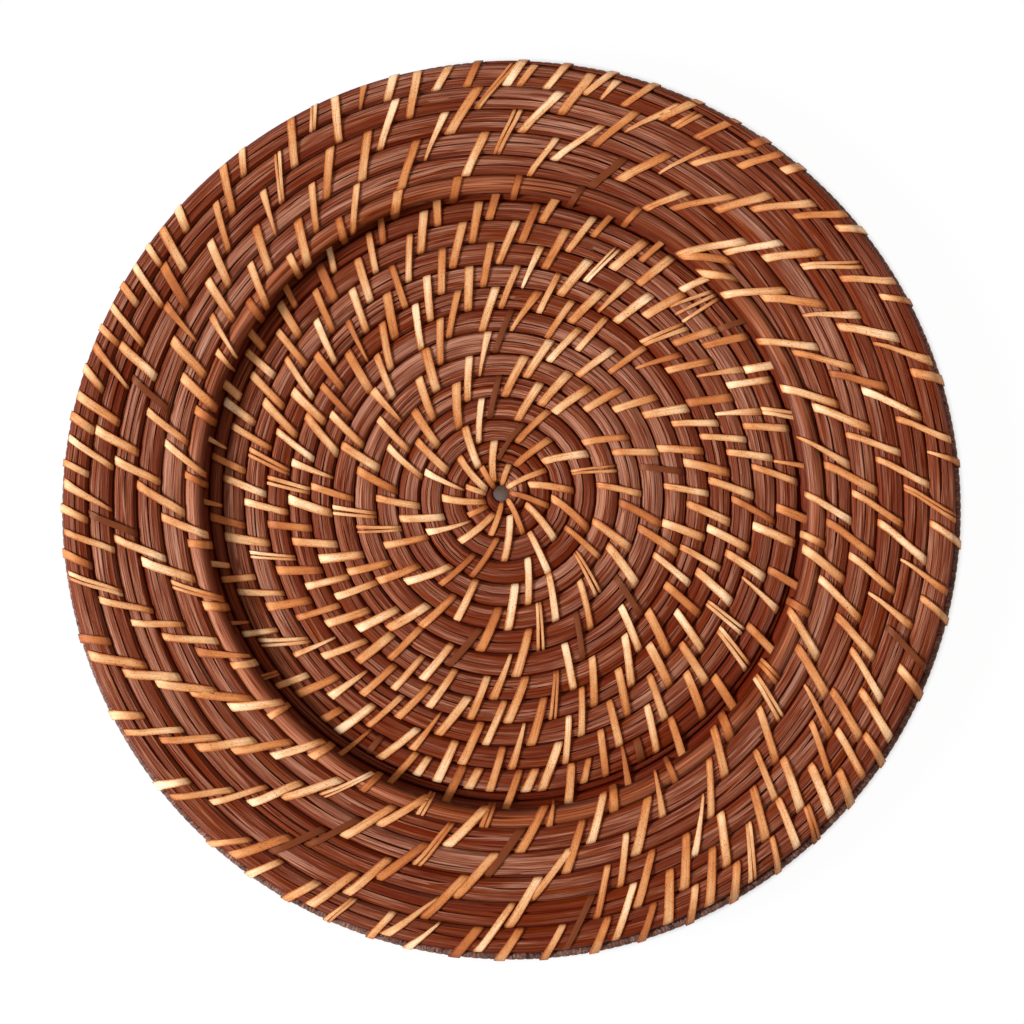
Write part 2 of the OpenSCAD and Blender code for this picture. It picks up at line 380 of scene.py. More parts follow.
@dataclass(frozen=True)
class Winding:
    """A row that is wound round the middle of the plate, turn after turn."""

    sizes: PlateSizes
    start: float
    rows: int
    power: float

    def line(self, turns: np.ndarray) -> np.ndarray:
        """Gives the line between two rows after so many turns."""
        raise NotImplementedError

    def point(self, line: np.ndarray, angle: np.ndarray) -> np.ndarray:
        """Gives the place of a line at an angle."""
        raise NotImplementedError

    def turn_at(self, angle: float) -> float:
        """Gives the part of a turn from the start to an angle."""
        return ((angle - self.start) / TURN) % 1.0

    def between(
        self, low: np.ndarray, high: np.ndarray, angle: np.ndarray, gap: float | None = None
    ) -> Oval:
        """Fits the oval of a row between two lines.

        Args:
            low: Inner line at each station.
            high: Outer line at each station.
            angle: Angle of each station.
            gap: Gap between two rows, or None for the CAD gap.

        Returns:
            The ovals, half a gap clear of both lines.
        """
        gap = self.sizes.row_gap if gap is None else gap
        inner = self.point(low, angle)
        outer = self.point(high, angle)
        width = np.linalg.norm(outer - inner, axis=1)
        half_w = np.maximum((width - gap) / 2, WELD)
        half_h = np.minimum(self.sizes.row_h / 2, half_w * CORNER_SHARE + SPLIT_H)
        return Oval((inner + outer) / 2, heading(angle), half_w, half_h, self.power)

    def row(self, turns: np.ndarray) -> Oval:
        """Gives the row's own ovals after so many turns, close to the next row's."""
        angle = self.start + TURN * turns
        return self.between(self.line(turns), self.line(turns + 1), angle, ROW_SHOWN_GAP)

    def stations(self, step: float, least_per_turn: int) -> np.ndarray:
        """Spreads stations along the whole row.

        Args:
            step: Distance between two stations.
            least_per_turn: Least number of stations in a turn.

        Returns:
            The turns at each station.
        """
        fine = np.linspace(-1, self.rows, FINE_PER_TURN * (self.rows + 1))
        oval = self.row(fine)
        fine = fine[oval.half_w * 2 > SPLIT_W]
        radius = np.linalg.norm((self.row(fine).centre - self.sizes.floor_centre)[:, :2], axis=1)
        rate = np.maximum(TURN * radius / step, least_per_turn)
        passed = np.concatenate([[0], np.cumsum((rate[1:] + rate[:-1]) / 2 * np.diff(fine))])
        return np.interp(np.linspace(0, passed[-1], int(passed[-1]) + 1), passed, fine)


class FloorWinding(Winding):
    """The floor's row, which grows evenly from the hole to the foot ring."""

    def line(self, turns: np.ndarray) -> np.ndarray:
        """Gives the radius of the line after so many turns."""
        radius = self.sizes.hole_r + self.sizes.floor_pitch * np.asarray(turns, float)
        return np.clip(radius, self.sizes.hole_r, self.sizes.floor_r)

    def drift(self, radius: np.ndarray) -> np.ndarray:
        """Gives how far the rows at a radius lie off the floor's middle."""
        return HOLE_DRIFT * (1 - np.asarray(radius)[..., None] / self.sizes.floor_r) ** 2

    def point(self, line: np.ndarray, angle: np.ndarray) -> np.ndarray:
        """Gives the place at a radius and an angle.

        Args:
            line: Radius at each station.
            angle: Angle of each station.

        Returns:
            One point for each station.
        """
        middle = self.sizes.floor_centre + self.drift(line)
        share = np.asarray(line) / self.sizes.floor_r
        follows = np.clip((share - FLOOR_FOLLOWS_FROM) / (1 - FLOOR_FOLLOWS_FROM), 0, 1)
        radius = line + FLOOR_FOLLOWS * follows * shoulder_bulge(angle)
        return middle + np.asarray(radius)[..., None] * heading(angle) + UP * self.sizes.row_z


class RimWinding(Winding):
    """The rim's row, which steps outwards in one third of each turn."""

    def line(self, turns: np.ndarray) -> np.ndarray:
        """Gives the share of the rim's width after so many turns.

        Args:
            turns: Turns at each station.

        Returns:
            The share at each station, from 0 to 1.
        """
        turns = np.asarray(turns, float)
        ramp_share = (RAMP_END - RAMP_START) / TURN
        part = np.clip((turns - np.floor(turns) - 1 + ramp_share) / ramp_share, 0, 1)
        stepped = np.floor(turns) + part * part * (3 - 2 * part)
        return np.clip(stepped / RIM_ROWS, 0, 1)

    def point(self, line: np.ndarray, angle: np.ndarray) -> np.ndarray:
        """Gives the place at a share of the rim's width and an angle, out to where the hoop shows.

        Args:
            line: Share of the rim's width at each station.
            angle: Angle of each station.

        Returns:
            One point for each station.
        """
        share = np.asarray(line, float)[..., None]
        shown = HOOP_SHOWN_LEAST + HOOP_SHOWN_MORE * np.cos((angle - HOOP_SHOWN_WAY) / 2) ** 2
        reach = self.sizes.hoop_r + self.sizes.hoop_d / 2 - shown
        start = self.sizes.rim_in - RIM_START_PRESS + shoulder_bulge(angle)
        inner = self.sizes.floor_centre + np.asarray(start)[..., None] * heading(angle)
        outer = np.asarray(reach)[..., None] * heading(angle)
        height = self.sizes.shoulder_z + self.sizes.rim_rise * share
        return (1 - share) * inner + share * outer + UP * height


@dataclass
class SweptMesh:
    """Collects swept tubes and bands in one mesh."""

    shape: bmesh.types.BMesh = field(default_factory=bmesh.new)
    tones: list[np.ndarray] = field(default_factory=list)
    reaches: list[np.ndarray] = field(default_factory=list)

    def __post_init__(self) -> None:
        """Gives the mesh its map for the grain."""
        self.shape.loops.layers.uv.new(GRAIN_MAP)

    def sweep(
        self,
        rings: np.ndarray,
        tone: float | np.ndarray,
        closed: bool,
        grain: tuple[float, float, float],
        reach: np.ndarray | None = None,
    ) -> None:
        """Bends a grid along rings of points and adds it.

        Args:
            rings: Points of each ring in order, as stations by points by three.
            tone: How light the piece is, from 0 to 1, or a value for each point of a ring.
            closed: Whether the last ring joins the first.
            grain: Width and length of the grain map, and where it starts.
            reach: A value for each station, from 0 to 1.
        """
        sheet = np.concatenate([rings, rings[:, :1]], axis=1)
        if closed:
            sheet = np.concatenate([sheet, sheet[:1]], axis=0)
        rows, columns = sheet.shape[:2]
        reach = np.zeros(rows) if reach is None else np.resize(reach, rows)
        around = np.resize(tone, columns - 1)
        around = np.append(around, around[0])
        tube = bmesh.new()
        grain_map = tube.loops.layers.uv.new(GRAIN_MAP)
        tone_layer = tube.verts.layers.float.new("tone")
        reach_layer = tube.verts.layers.float.new("reach")
        bmesh.ops.create_grid(
            tube, x_segments=columns - 1, y_segments=rows - 1, size=0.5, calc_uvs=True
        )
        values = zip(np.tile(around, rows), np.repeat(reach, columns))
        for vert, place, (tone_here, reach_here) in zip(tube.verts, sheet.reshape(-1, 3), values):
            vert.co = place
            vert[tone_layer] = tone_here
            vert[reach_layer] = reach_here
        width, length, start = grain
        for face in tube.faces:
            for loop in face.loops:
                across, along = loop[grain_map].uv
                loop[grain_map].uv = (across * width, along * length + start)
        bmesh.ops.remove_doubles(tube, verts=tube.verts, dist=WELD)
        if not closed:
            ends = [edge for edge in tube.edges if edge.is_boundary]
            bmesh.ops.holes_fill(tube, edges=ends, sides=columns)
        bmesh.ops.recalc_face_normals(tube, faces=tube.faces)
        self.tones.append(np.array([vert[tone_layer] for vert in tube.verts]))
        self.reaches.append(np.array([vert[reach_layer] for vert in tube.verts]))
        # Taking one layer out makes the other's handle stale, so that one is looked up by its name
        tube.verts.layers.float.remove(reach_layer)
        tube.verts.layers.float.remove(tube.verts.layers.float["tone"])
        mesh = bpy.data.meshes.new("swept")
        tube.to_mesh(mesh)
        tube.free()
        self.shape.from_mesh(mesh)
        bpy.data.meshes.remove(mesh)

    def piece(
        self, name: str, material: bpy.types.Material, sharp: float = math.pi
    ) -> bpy.types.Object:
        """Makes one object of all that was added.

        Args:
            name: The piece's name.
            material: Its finish.
            sharp: Angle from which an edge looks sharp.

        Returns:
            The object, in the scene.
        """
        mesh = bpy.data.meshes.new(name)
        self.shape.to_mesh(mesh)
        self.shape.free()
        for label, values in (("tone", self.tones), ("reach", self.reaches)):
            layer = mesh.attributes.new(label, "FLOAT", "POINT")
            layer.data.foreach_set("value", np.concatenate(values).astype(np.float32))
        mesh.polygons.foreach_set("use_smooth", np.ones(len(mesh.polygons), bool))
        mesh.set_sharp_from_angle(angle=sharp)
        mesh.materials.append(material)
        piece = bpy.data.objects.new(name, mesh)
        bpy.context.scene.collection.objects.link(piece)
        return piece


@dataclass
class NodeTree:
    """Adds and joins the nodes of one material."""

    name: str
    material: bpy.types.Material = field(init=False)

    def __post_init__(self) -> None:
        """Starts an empty node material."""
        self.material = bpy.data.materials.new(self.name)
        self.material.use_nodes = True
        self.material.node_tree.nodes.clear()

    def add(self, kind: str, **settings: object) -> bpy.types.Node:
        """Adds a node.

        Args:
            kind: Blender's name of the node type.
            settings: Properties of the node.

        Returns:
            The new node.
        """
        node = self.material.node_tree.nodes.new(kind)
        for key, value in settings.items():
            setattr(node, key, value)
        return node

    def join(self, output: bpy.types.NodeSocket, target: bpy.types.NodeSocket) -> None:
        """Links an output to an input."""
        self.material.node_tree.links.new(output, target)

    def value(self, label: str) -> bpy.types.NodeSocket:
        """Reads a number that the mesh carries."""
        return self.add("ShaderNodeAttribute", attribute_name=label).outputs["Fac"]

    def math(self, operation: str, first: object, second: object) -> bpy.types.NodeSocket:
        """Works out one sum.

        Args:
            operation: Blender's name of the sum.
            first: A socket or a number.
            second: A socket or a number.

        Returns:
            The result's socket.
        """
        node = self.add("ShaderNodeMath", operation=operation)
        for socket, given in zip(node.inputs, (first, second)):
            if isinstance(given, bpy.types.NodeSocket):
                self.join(given, socket)
            else:
                socket.default_value = given
        return node.outputs[0]

    def noise(self, scale: tuple[float, float, float], detail: float) -> bpy.types.NodeSocket:
        """Makes noise that follows the grain map.

        Args:
            scale: Scale across, along and through the grain.
            detail: Number of finer layers.

        Returns:
            The noise, around 0.5.
        """
        coordinates = self.add("ShaderNodeUVMap", uv_map=GRAIN_MAP)
        mapping = self.add("ShaderNodeMapping")
        mapping.inputs["Scale"].default_value = scale
        self.join(coordinates.outputs["UV"], mapping.inputs["Vector"])
        noise = self.add("ShaderNodeTexNoise")
        noise.inputs["Scale"].default_value = 1
        noise.inputs["Detail"].default_value = detail
        self.join(mapping.outputs["Vector"], noise.inputs["Vector"])
        return noise.outputs["Fac"]

    def ramp(
        self, factor: bpy.types.NodeSocket, stops: list[tuple[float, tuple]]
    ) -> bpy.types.NodeSocket:
        """Turns a number into a colour.

        Args:
            factor: The number's socket.
            stops: Each stop's place and colour.

        Returns:
            The colour's socket.
        """
        node = self.add("ShaderNodeValToRGB")
        elements = node.color_ramp.elements
        while len(elements) < len(stops):
            elements.new(1.0)
        for element, (place, colour) in zip(elements, stops):
            element.position = place
            element.color = colour
        self.join(factor, node.inputs["Fac"])
        return node.outputs["Color"]

    def stained(
        self, colour: bpy.types.NodeSocket, noise: bpy.types.NodeSocket
    ) -> bpy.types.NodeSocket:
        """Makes a colour stronger in some places and greyer in others.

        Args:
            colour: The colour's socket.
            noise: Noise around 0.5.

        Returns:
            The new colour's socket.
        """
        node = self.add("ShaderNodeHueSaturation")
        self.join(self.math("ADD", self.swing(noise, STAIN_CHANGE), 1), node.inputs["Saturation"])
        self.join(colour, node.inputs["Color"])
        return node.outputs["Color"]

    def swing(self, noise: bpy.types.NodeSocket, size: float) -> bpy.types.NodeSocket:
        """Centres noise on zero and scales it."""
        return self.math("MULTIPLY", self.math("SUBTRACT", noise, NEUTRAL), size)

    def off(self, value: bpy.types.NodeSocket, middle: float) -> bpy.types.NodeSocket:
        """Gives how far a number is from a middle value."""
        return self.math("ABSOLUTE", self.math("SUBTRACT", value, middle), 0)

    def total(self, *parts: bpy.types.NodeSocket) -> bpy.types.NodeSocket:
        """Adds up several numbers.

        Args:
            parts: The numbers' sockets.

        Returns:
            The total's socket.
        """
        result = parts[0]
        for part in parts[1:]:
            result = self.math("ADD", result, part)
        return result

    def steps(
        self,
        value: bpy.types.NodeSocket,
        low: float,
        high: float,
        first: float,
        last: float,
        kind: str = "LINEAR",
    ) -> bpy.types.NodeSocket:
        """Maps a number from one span to another, and holds it there.

        Args:
            value: The number's socket.
            low: Start of the span it comes from.
            high: End of the span it comes from.
            first: Result at the start.
            last: Result at the end.
            kind: Blender's name of the curve between them.

        Returns:
            The result's socket.
        """
        node = self.add("ShaderNodeMapRange", interpolation_type=kind)
        span = {"From Min": low, "From Max": high, "To Min": first, "To Max": last}
        for name, number in span.items():
            node.inputs[name].default_value = number
        self.join(value, node.inputs["Value"])
        return node.outputs["Result"]

    def cracks(
        self, scale: tuple[float, float, float], width: float, depth: float
    ) -> bpy.types.NodeSocket:
        """Draws thin lines along the grain.

        Args:
            scale: Scale across, along and through the grain.
            width: How wide the lines are, as a share of the noise.
            depth: Value in the middle of a line.

        Returns:
            Zero outside the lines.
        """
        return self.steps(self.off(self.noise(scale, 1), NEUTRAL), 0, width, depth, 0)

    def bump(self, height: bpy.types.NodeSocket, depth: float) -> bpy.types.NodeSocket:
        """Turns a number into fine relief.

        Args:
            height: The number's socket.
            depth: Depth of the relief.

        Returns:
            The normal's socket.
        """
        node = self.add("ShaderNodeBump")
        node.inputs["Strength"].default_value = 1
        node.inputs["Distance"].default_value = depth
        self.join(height, node.inputs["Height"])
        return node.outputs["Normal"]

    def surface(
        self,
        colour: bpy.types.NodeSocket,
        roughness: bpy.types.NodeSocket,
        normal: bpy.types.NodeSocket,
        gloss: float,
        sheen: tuple,
    ) -> None:
        """Adds the main shader and joins it to the output.

        Args:
            colour: The colour's socket.
            roughness: The roughness's socket.
            normal: The relief's socket.
            gloss: Strength of the reflections.
            sheen: Colour of the reflections.
        """
        shader = self.add("ShaderNodeBsdfPrincipled")
        output = self.add("ShaderNodeOutputMaterial")
        self.join(shader.outputs["BSDF"], output.inputs["Surface"])
        for name, socket in (("Base Color", colour), ("Roughness", roughness), ("Normal", normal)):
            self.join(socket, shader.inputs[name])
        shader.inputs["Specular IOR Level"].default_value = gloss
        shader.inputs["Specular Tint"].default_value = sheen


@dataclass(frozen=True)
class SplitFinish:
    """Stained and lacquered rattan splits, with fibres along them."""

    name: str
    dark: tuple
    middle: tuple
    light: tuple
    sheen: tuple
    roughness: float
    gloss: float
    fibres: tuple[float, float, float]
    blotches: tuple[float, float, float]
    hair_shares: tuple[float, float] = (3.1, 1.6)
    stain_shares: tuple[float, float] = (0.35, 0.4)
    crack_shares: tuple[float, float] = (0.4, 0.25)
    crack_w: float = 0.022
    crack_depth: float = 0.5
    reach_swing: float = 0.4
    fibre_swing: float = 1.0
    hair_swing: float = 1.0
    blotch_swing: float = 0.8
    rough_swing: float = 0.3
    relief: float = 0.14 * MM
    stops: tuple[float, float, float] = (0.02, 0.5, 0.98)

    def scaled(self, shares: tuple[float, float]) -> tuple[float, float, float]:
        """Scales the fibres' noise across and along."""
        across, along, through = self.fibres
        return across * shares[0], along * shares[1], through

    def material(self) -> bpy.types.Material:
        """Builds the node material.

        Returns:
            The material, with its nodes joined.
        """
        tree = NodeTree(self.name)
        fibre = tree.noise(self.fibres, 3)
        hair = tree.noise(self.scaled(self.hair_shares), 2)
        blotch = tree.noise(self.blotches, 2)
        crack = tree.cracks(self.scaled(self.crack_shares), self.crack_w, self.crack_depth)
        tone = tree.total(
            tree.value("tone"),
            tree.swing(tree.value("reach"), self.reach_swing),
            tree.swing(fibre, self.fibre_swing),
            tree.swing(hair, self.hair_swing),
            tree.swing(blotch, self.blotch_swing),
            tree.math("MULTIPLY", crack, -1),
        )
        colours = list(zip(self.stops, (self.dark, self.middle, self.light)))
        stain = tree.noise(self.scaled(self.stain_shares), 2)
        relief = tree.math("SUBTRACT", tree.math("ADD", fibre, hair), crack)
        tree.surface(
            colour=tree.stained(tree.ramp(tone, colours), stain),
            roughness=tree.math("ADD", tree.swing(fibre, self.rough_swing), self.roughness),
            normal=tree.bump(relief, self.relief),
            gloss=self.gloss,
            sheen=self.sheen,
        )
        return tree.material


@dataclass(frozen=True)
class PeelFinish:
    """Honey-coloured peel, paler at its outer end, with fine fibres and a few specks, and darker at both
    ends and along its edges, partly painted shade.
    """

    name: str
    stained: tuple
    russet: tuple
    orange: tuple
    honey: tuple
    pale: tuple
    sheen: tuple
    roughness: float
    gloss: float = 0.35
    fibres: tuple[float, float, float] = (15, 2.4, 1)
    hairs: tuple[float, float, float] = (48, 6, 1)
    blotches: tuple[float, float, float] = (4, 9, 1)
    specks: tuple[float, float, float] = (34, 80, 1)
    speck_span: tuple[float, float, float, float] = (0.6, 0.69, 0.0, 0.75)
    edge_tint_and_shade_span: tuple[float, float, float, float] = (0.11, 0.2, 0.0, 0.58)
    end_shade_span: tuple[float, float, float, float] = (0.42, 0.5, 0.0, 0.3)
    reach_swing: float = 0.5
    fibre_swing: float = 0.8
    hair_swing: float = 0.4
    blotch_swing: float = 0.7
    rough_swing: float = 0.25
    relief: float = 0.09 * MM
    stops: tuple[float, ...] = (0.04, 0.16, 0.42, 0.7, 1.0)

    def material(self) -> bpy.types.Material:
        """Builds the node material.

        Returns:
            The material, with its nodes joined.
        """
        tree = NodeTree(self.name)
        fibre = tree.noise(self.fibres, 3)
        hair = tree.noise(self.hairs, 2)
        blotch = tree.noise(self.blotches, 2)
        specks = tree.steps(tree.noise(self.specks, 1), *self.speck_span)
        place = tree.add("ShaderNodeSeparateXYZ")
        tree.join(tree.add("ShaderNodeUVMap", uv_map=GRAIN_MAP).outputs["UV"], place.inputs["Vector"])
        # Darker along both edges: partly the peel's own deeper orange and partly painted shade that rounds
        # the strip.
        edge = tree.steps(tree.off(place.outputs["X"], PEEL_CROWN), *self.edge_tint_and_shade_span)
        reach = tree.value("reach")
        # Darker at both ends, where the strip dives between rows: partly the redder cut ends and partly
        # painted shade.
        end = tree.steps(tree.off(reach, NEUTRAL), *self.end_shade_span)
        change = tree.total(
            tree.swing(reach, self.reach_swing),
            tree.swing(fibre, self.fibre_swing),
            tree.swing(hair, self.hair_swing),
            tree.swing(blotch, self.blotch_swing),
            tree.math("MULTIPLY", tree.total(specks, edge, end), -1),
        )
        tone = tree.value("tone")
        shown = tree.math("ADD", tone, tree.math("MULTIPLY", change, tone))
        colours = (self.stained, self.russet, self.orange, self.honey, self.pale)
        tree.surface(
            colour=tree.ramp(shown, list(zip(self.stops, colours))),
            roughness=tree.math("ADD", tree.swing(fibre, self.rough_swing), self.roughness),
            normal=tree.bump(tree.math("ADD", fibre, hair), self.relief),
            gloss=self.gloss,
            sheen=self.sheen,
        )
        return tree.material


WALNUT_SPLITS = SplitFinish(
    name="walnut_splits",
    dark=srgb(90, 22, 4),
    middle=srgb(110, 52, 31),
    light=srgb(174, 124, 102),
    sheen=srgb(255, 205, 170),
    roughness=0.5,
    gloss=0.2,
    fibres=(1700, 45, 1),
    blotches=(150, 14, 1),
)
RUSSET_ROD = SplitFinish(
    name="russet_rod",
    dark=srgb(60, 15, 3),
    middle=srgb(112, 50, 26),
    light=srgb(176, 114, 84),
    sheen=srgb(255, 215, 190),
    roughness=0.36,
    gloss=0.32,
    fibres=(1300, 25, 1),
    blotches=(90, 12, 1),
)
UMBER_BINDING = SplitFinish(
    name="umber_binding",
    dark=srgb(44, 26, 24),
    middle=srgb(98, 68, 60),
    light=srgb(166, 130, 118),
    sheen=srgb(255, 225, 205),
    roughness=0.55,
    gloss=0.25,
    fibres=(300, 1300, 1),
    blotches=(60, 260, 1),
)
HONEY_PEEL = PeelFinish(
    name="honey_peel",
    stained=srgb(100, 46, 20),
    russet=srgb(146, 72, 34),
    orange=srgb(192, 122, 68),
    honey=srgb(215, 169, 123),
    pale=srgb(240, 211, 176),
    sheen=srgb(255, 228, 196),
    roughness=0.5,
)


def settle(piece: bpy.types.Object, nodes: list[str]) -> None:
    """Puts a piece on the plate in place of its CAD nodes, and reports it.

    Args:
        piece: The finished piece.
        nodes: The nodes that it stands for.
    """
    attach(piece, "root")
    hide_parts(*nodes)
    LOG.info("%s: %d faces in place of %s", piece.name, len(piece.data.polygons), ", ".join(nodes))


@dataclass
class Bundle:
    """Thin splits of uneven width that run side by side round a core, spliced end to end; the core and the
    splits at the row's sides are darker, as painted shade in the gaps between rows.
    """

    name: str
    seed: int
    strands: int
    strand_t: float
    step: float = 4.5 * MM
    least_per_turn: int = 26
    splice: float = 620 * MM
    overlap: float = 1.12
    core_sides: int = 6
    core_w_share: float = 1.08
    core_h_share: float = 0.7
    painted_shade_core_tone: float = 0.3
    core_grain: tuple[float, float, float] = (0.01, 1.0, 0.0)
    skin_steps: int = 361
    split_widths: tuple[float, float] = (0.65, 1.4)
    wander: float = 0.07
    wave_length: float = 170 * MM
    width_luck: tuple[float, float] = (0.86, 1.08)
    width_wave: float = 0.08
    thick_luck: tuple[float, float] = (0.85, 1.15)
    thick_limit_share: float = 0.4
    sunk: float = 0.12 * MM
    sunk_waves: float = 1.7
    lap: int = 3
    end_w_share: float = 0.3
    end_t_share: float = 0.4
    end_sunk_share: float = 0.6
    tone: float = 0.56
    tone_spread: float = 0.11
    tone_range: tuple[float, float] = (0.04, 0.98)
    painted_side_shade: float = 0.42
    painted_side_shade_power: float = 1.3
    painted_taper_shade: float = 0.3
    cast_length: float = 330 * MM
    cast_change: float = 0.36
    lighter_side: float = 0.14
    grain_sides: float = 8
    grain_starts: float = 50

    def layout(self, oval: Oval, rng: np.random.Generator) -> list[tuple[float, float]]:
        """Shares the bundle's skin among its splits.

        Args:
            oval: The bundle's ovals.
            rng: The seeded source of chance.

        Returns:
            The angle in the section and the half width of each split.
        """
        middle = oval.part(np.full(self.skin_steps, len(oval.half_w) // 2))
        angle = np.linspace(0, TURN, self.skin_steps)
        skin = middle.place(angle)
        passed = np.concatenate([[0], np.cumsum(np.linalg.norm(np.diff(skin, axis=0), axis=1))])
        widths = rng.uniform(*self.split_widths, self.strands)
        widths *= passed[-1] / widths.sum()
        ends = np.cumsum(widths)
        lies = np.interp(ends - widths / 2, passed, angle)
        return list(zip(lies, widths / 2 * self.overlap))

    def strand_rings(
        self, oval: Oval, lie: np.ndarray, half: np.ndarray, thick: np.ndarray, sink: np.ndarray
    ) -> np.ndarray:
        """Places the rings of one split on the bundle.

        Args:
            oval: The bundle's ovals along the split.
            lie: Angle of the split in the bundle's section, at each station.
            half: Half the split's width at each station.
            thick: Half the split's thickness at each station.
            sink: How far the split lies under the bundle's skin.

        Returns:
            The rings of points.
        """
        across, above = oval.facing(lie)
        normal = across[:, None] * oval.out + above[:, None] * UP
        side = -above[:, None] * oval.out + across[:, None] * UP
        centre = oval.place(lie) - normal * (thick + sink)[:, None]
        raised = (thick[:, None] * SPLIT_RAISED)[..., None] * normal[:, None]
        spread = (half[:, None] * SPLIT_ACROSS)[..., None] * side[:, None]
        return centre[:, None] + raised + spread

    def add_strand(
        self,
        mesh: SweptMesh,
        oval: Oval,
        cast: np.ndarray,
        lie: float,
        half: float,
        rng: np.random.Generator,
        closed: bool,
    ) -> None:
        """Adds one split, in lengths that are spliced.

        Args:
            mesh: Where it goes.
            oval: The bundle's ovals along its whole length.
            cast: How light the whole bundle is at each station, around 0.5, with painted shade where the
                bundle tapers.
            lie: Angle of the split in the bundle's section.
            half: Half the split's width.
            rng: The seeded source of chance.
            closed: Whether the bundle closes on itself.
        """
        count = len(oval.half_w)
        joints = [0, count] if closed else self.joints(count, rng)
        full_w = np.median(oval.half_w)
        # Painted shade: splits at the row's sides, towards the gaps between rows, get a lower tone.
        shade = self.painted_side_shade * (1 - max(0.0, math.sin(lie))) ** self.painted_side_shade_power
        for first, last in zip(joints[:-1], joints[1:]):
            stations = np.arange(first, min(last + self.lap, count))
            length = len(stations)
            part = oval.part(stations)
            narrow = part.half_w / full_w
            waves = length * self.step / self.wave_length
            lies = lie + self.wander * smooth_noise(rng, length, waves)
            wide = half * narrow * rng.uniform(*self.width_luck)
            wide = wide * (1 + self.width_wave * smooth_noise(rng, length, waves))
            thick = self.strand_t * rng.uniform(*self.thick_luck)
            thick = np.minimum(thick, part.half_h * self.thick_limit_share)
            sink = self.sunk * (1 + smooth_noise(rng, length, self.sunk_waves * waves)) * narrow
            if not closed:
                from_end = np.minimum(np.arange(length), np.arange(length)[::-1])
                fade = np.clip(from_end / self.lap, 0, 1)
                wide = wide * (self.end_w_share + (1 - self.end_w_share) * fade)
                thick = thick * (self.end_t_share + (1 - self.end_t_share) * fade)
                sink = sink + (1 - fade) * self.end_sunk_share * self.strand_t
            rings = self.strand_rings(part, lies, wide, thick, sink)
            tone = float(np.clip(rng.normal(self.tone - shade, self.tone_spread), *self.tone_range))
            grain = (self.grain_sides * half, length * self.step, rng.uniform(0, self.grain_starts))
            mesh.sweep(rings, tone, closed, grain, cast[stations])

    def joints(self, count: int, rng: np.random.Generator) -> list[int]:
        """Picks the stations where the lengths of a split meet.

        Args:
            count: Number of stations.
            rng: The seeded source of chance.

        Returns:
            The stations, with the first and the last.
        """
        per_splice = int(self.splice / self.step)
        joints = [0]
        while joints[-1] < count - per_splice // 2:
            joints.append(joints[-1] + int(per_splice * rng.uniform(0.5, 1.5)))
        joints[-1] = count
        return joints

    def build(self, oval: Oval, closed: bool, packing: Oval | None = None) -> bpy.types.Object:
        """Builds the whole bundle.

        Args:
            oval: The bundle's ovals along its whole length.
            closed: Whether the bundle closes on itself.
            packing: Ovals of the packing on top of the bundle, where it has one.

        Returns:
            The finished piece.
        """
        rng = np.random.default_rng(self.seed)
        mesh = SweptMesh()
        count = len(oval.half_w)
        half_w = oval.half_w * self.core_w_share
        inside = Oval(oval.centre, oval.out, half_w, oval.half_h * self.core_h_share, oval.power)
        turns = np.arange(self.core_sides) * TURN / self.core_sides
        # Painted shade: the core, and the packing under the rod, are swept in a low tone, so the gaps and
        # the slot under the rod look dark.
        for filling in (inside, packing):
            if filling is not None:
                core = np.stack([filling.place(np.full(count, turn)) for turn in turns], axis=1)
                mesh.sweep(core, self.painted_shade_core_tone, closed, self.core_grain)
        waves = round(count * self.step / self.cast_length)
        cast = NEUTRAL + self.cast_change * smooth_noise(rng, count, waves)
        # The bundles are made lighter towards one side of the plate.
        cast += self.lighter_side * (oval.out @ heading(LIGHTER_SIDE_WAY))
        # Painted shade: the bundle is darker where it tapers, most on the floor, whose thin last turn lies
        # in the groove inside the shoulder.
        cast -= self.painted_taper_shade * np.clip(1 - oval.half_w / np.median(oval.half_w), 0, 1)
        for lie, half in self.layout(oval, rng):
            self.add_strand(mesh, oval, cast, lie, half, rng, closed)
        return mesh.piece(self.name, WALNUT_SPLITS.material(), SHARP_EDGE)


@dataclass
class ShoulderRod:
    """The smooth round rod at the shoulder, not quite even."""

    sizes: PlateSizes
    seed: int = 31
    stations: int = 260
    sides: int = 18
    seam: float = math.pi * 1.5
    unevenness: float = 0.02
    tone: float = 0.3
    painted_light_upwards: float = 0.36
    painted_light_outwards: float = 0.2

    def build(self) -> bpy.types.Object:
        """Builds the rod.

        Returns:
            The finished piece.
        """
        rng = np.random.default_rng(self.seed)
        angle = np.arange(self.stations) * TURN / self.stations
        radius = self.sizes.shoulder_d / 2 * (
            1 - self.unevenness * (1 + smooth_noise(rng, self.stations, 1) * np.sin(angle / 2) ** 2)
        )
        oval = Oval(rod_oval(self.sizes, angle).centre, heading(angle), radius, radius)
        turn = self.seam + np.arange(self.sides) * TURN / self.sides
        rings = np.stack([oval.place(np.full(self.stations, t)) for t in turn], axis=1)
        mesh = SweptMesh()
        grain = (TURN * self.sizes.shoulder_d / 2, TURN * self.sizes.shoulder_r, 0.0)
        # Painted light and shade: the rod's top and outer side are made lighter, its underside and inner
        # side darker.
        tone = self.tone + self.painted_light_upwards * np.sin(turn) + self.painted_light_outwards * np.cos(turn)
        mesh.sweep(rings, tone, True, grain, np.full(self.stations, NEUTRAL))
        return mesh.piece("shoulder_rod_lacquered", RUSSET_ROD.material())


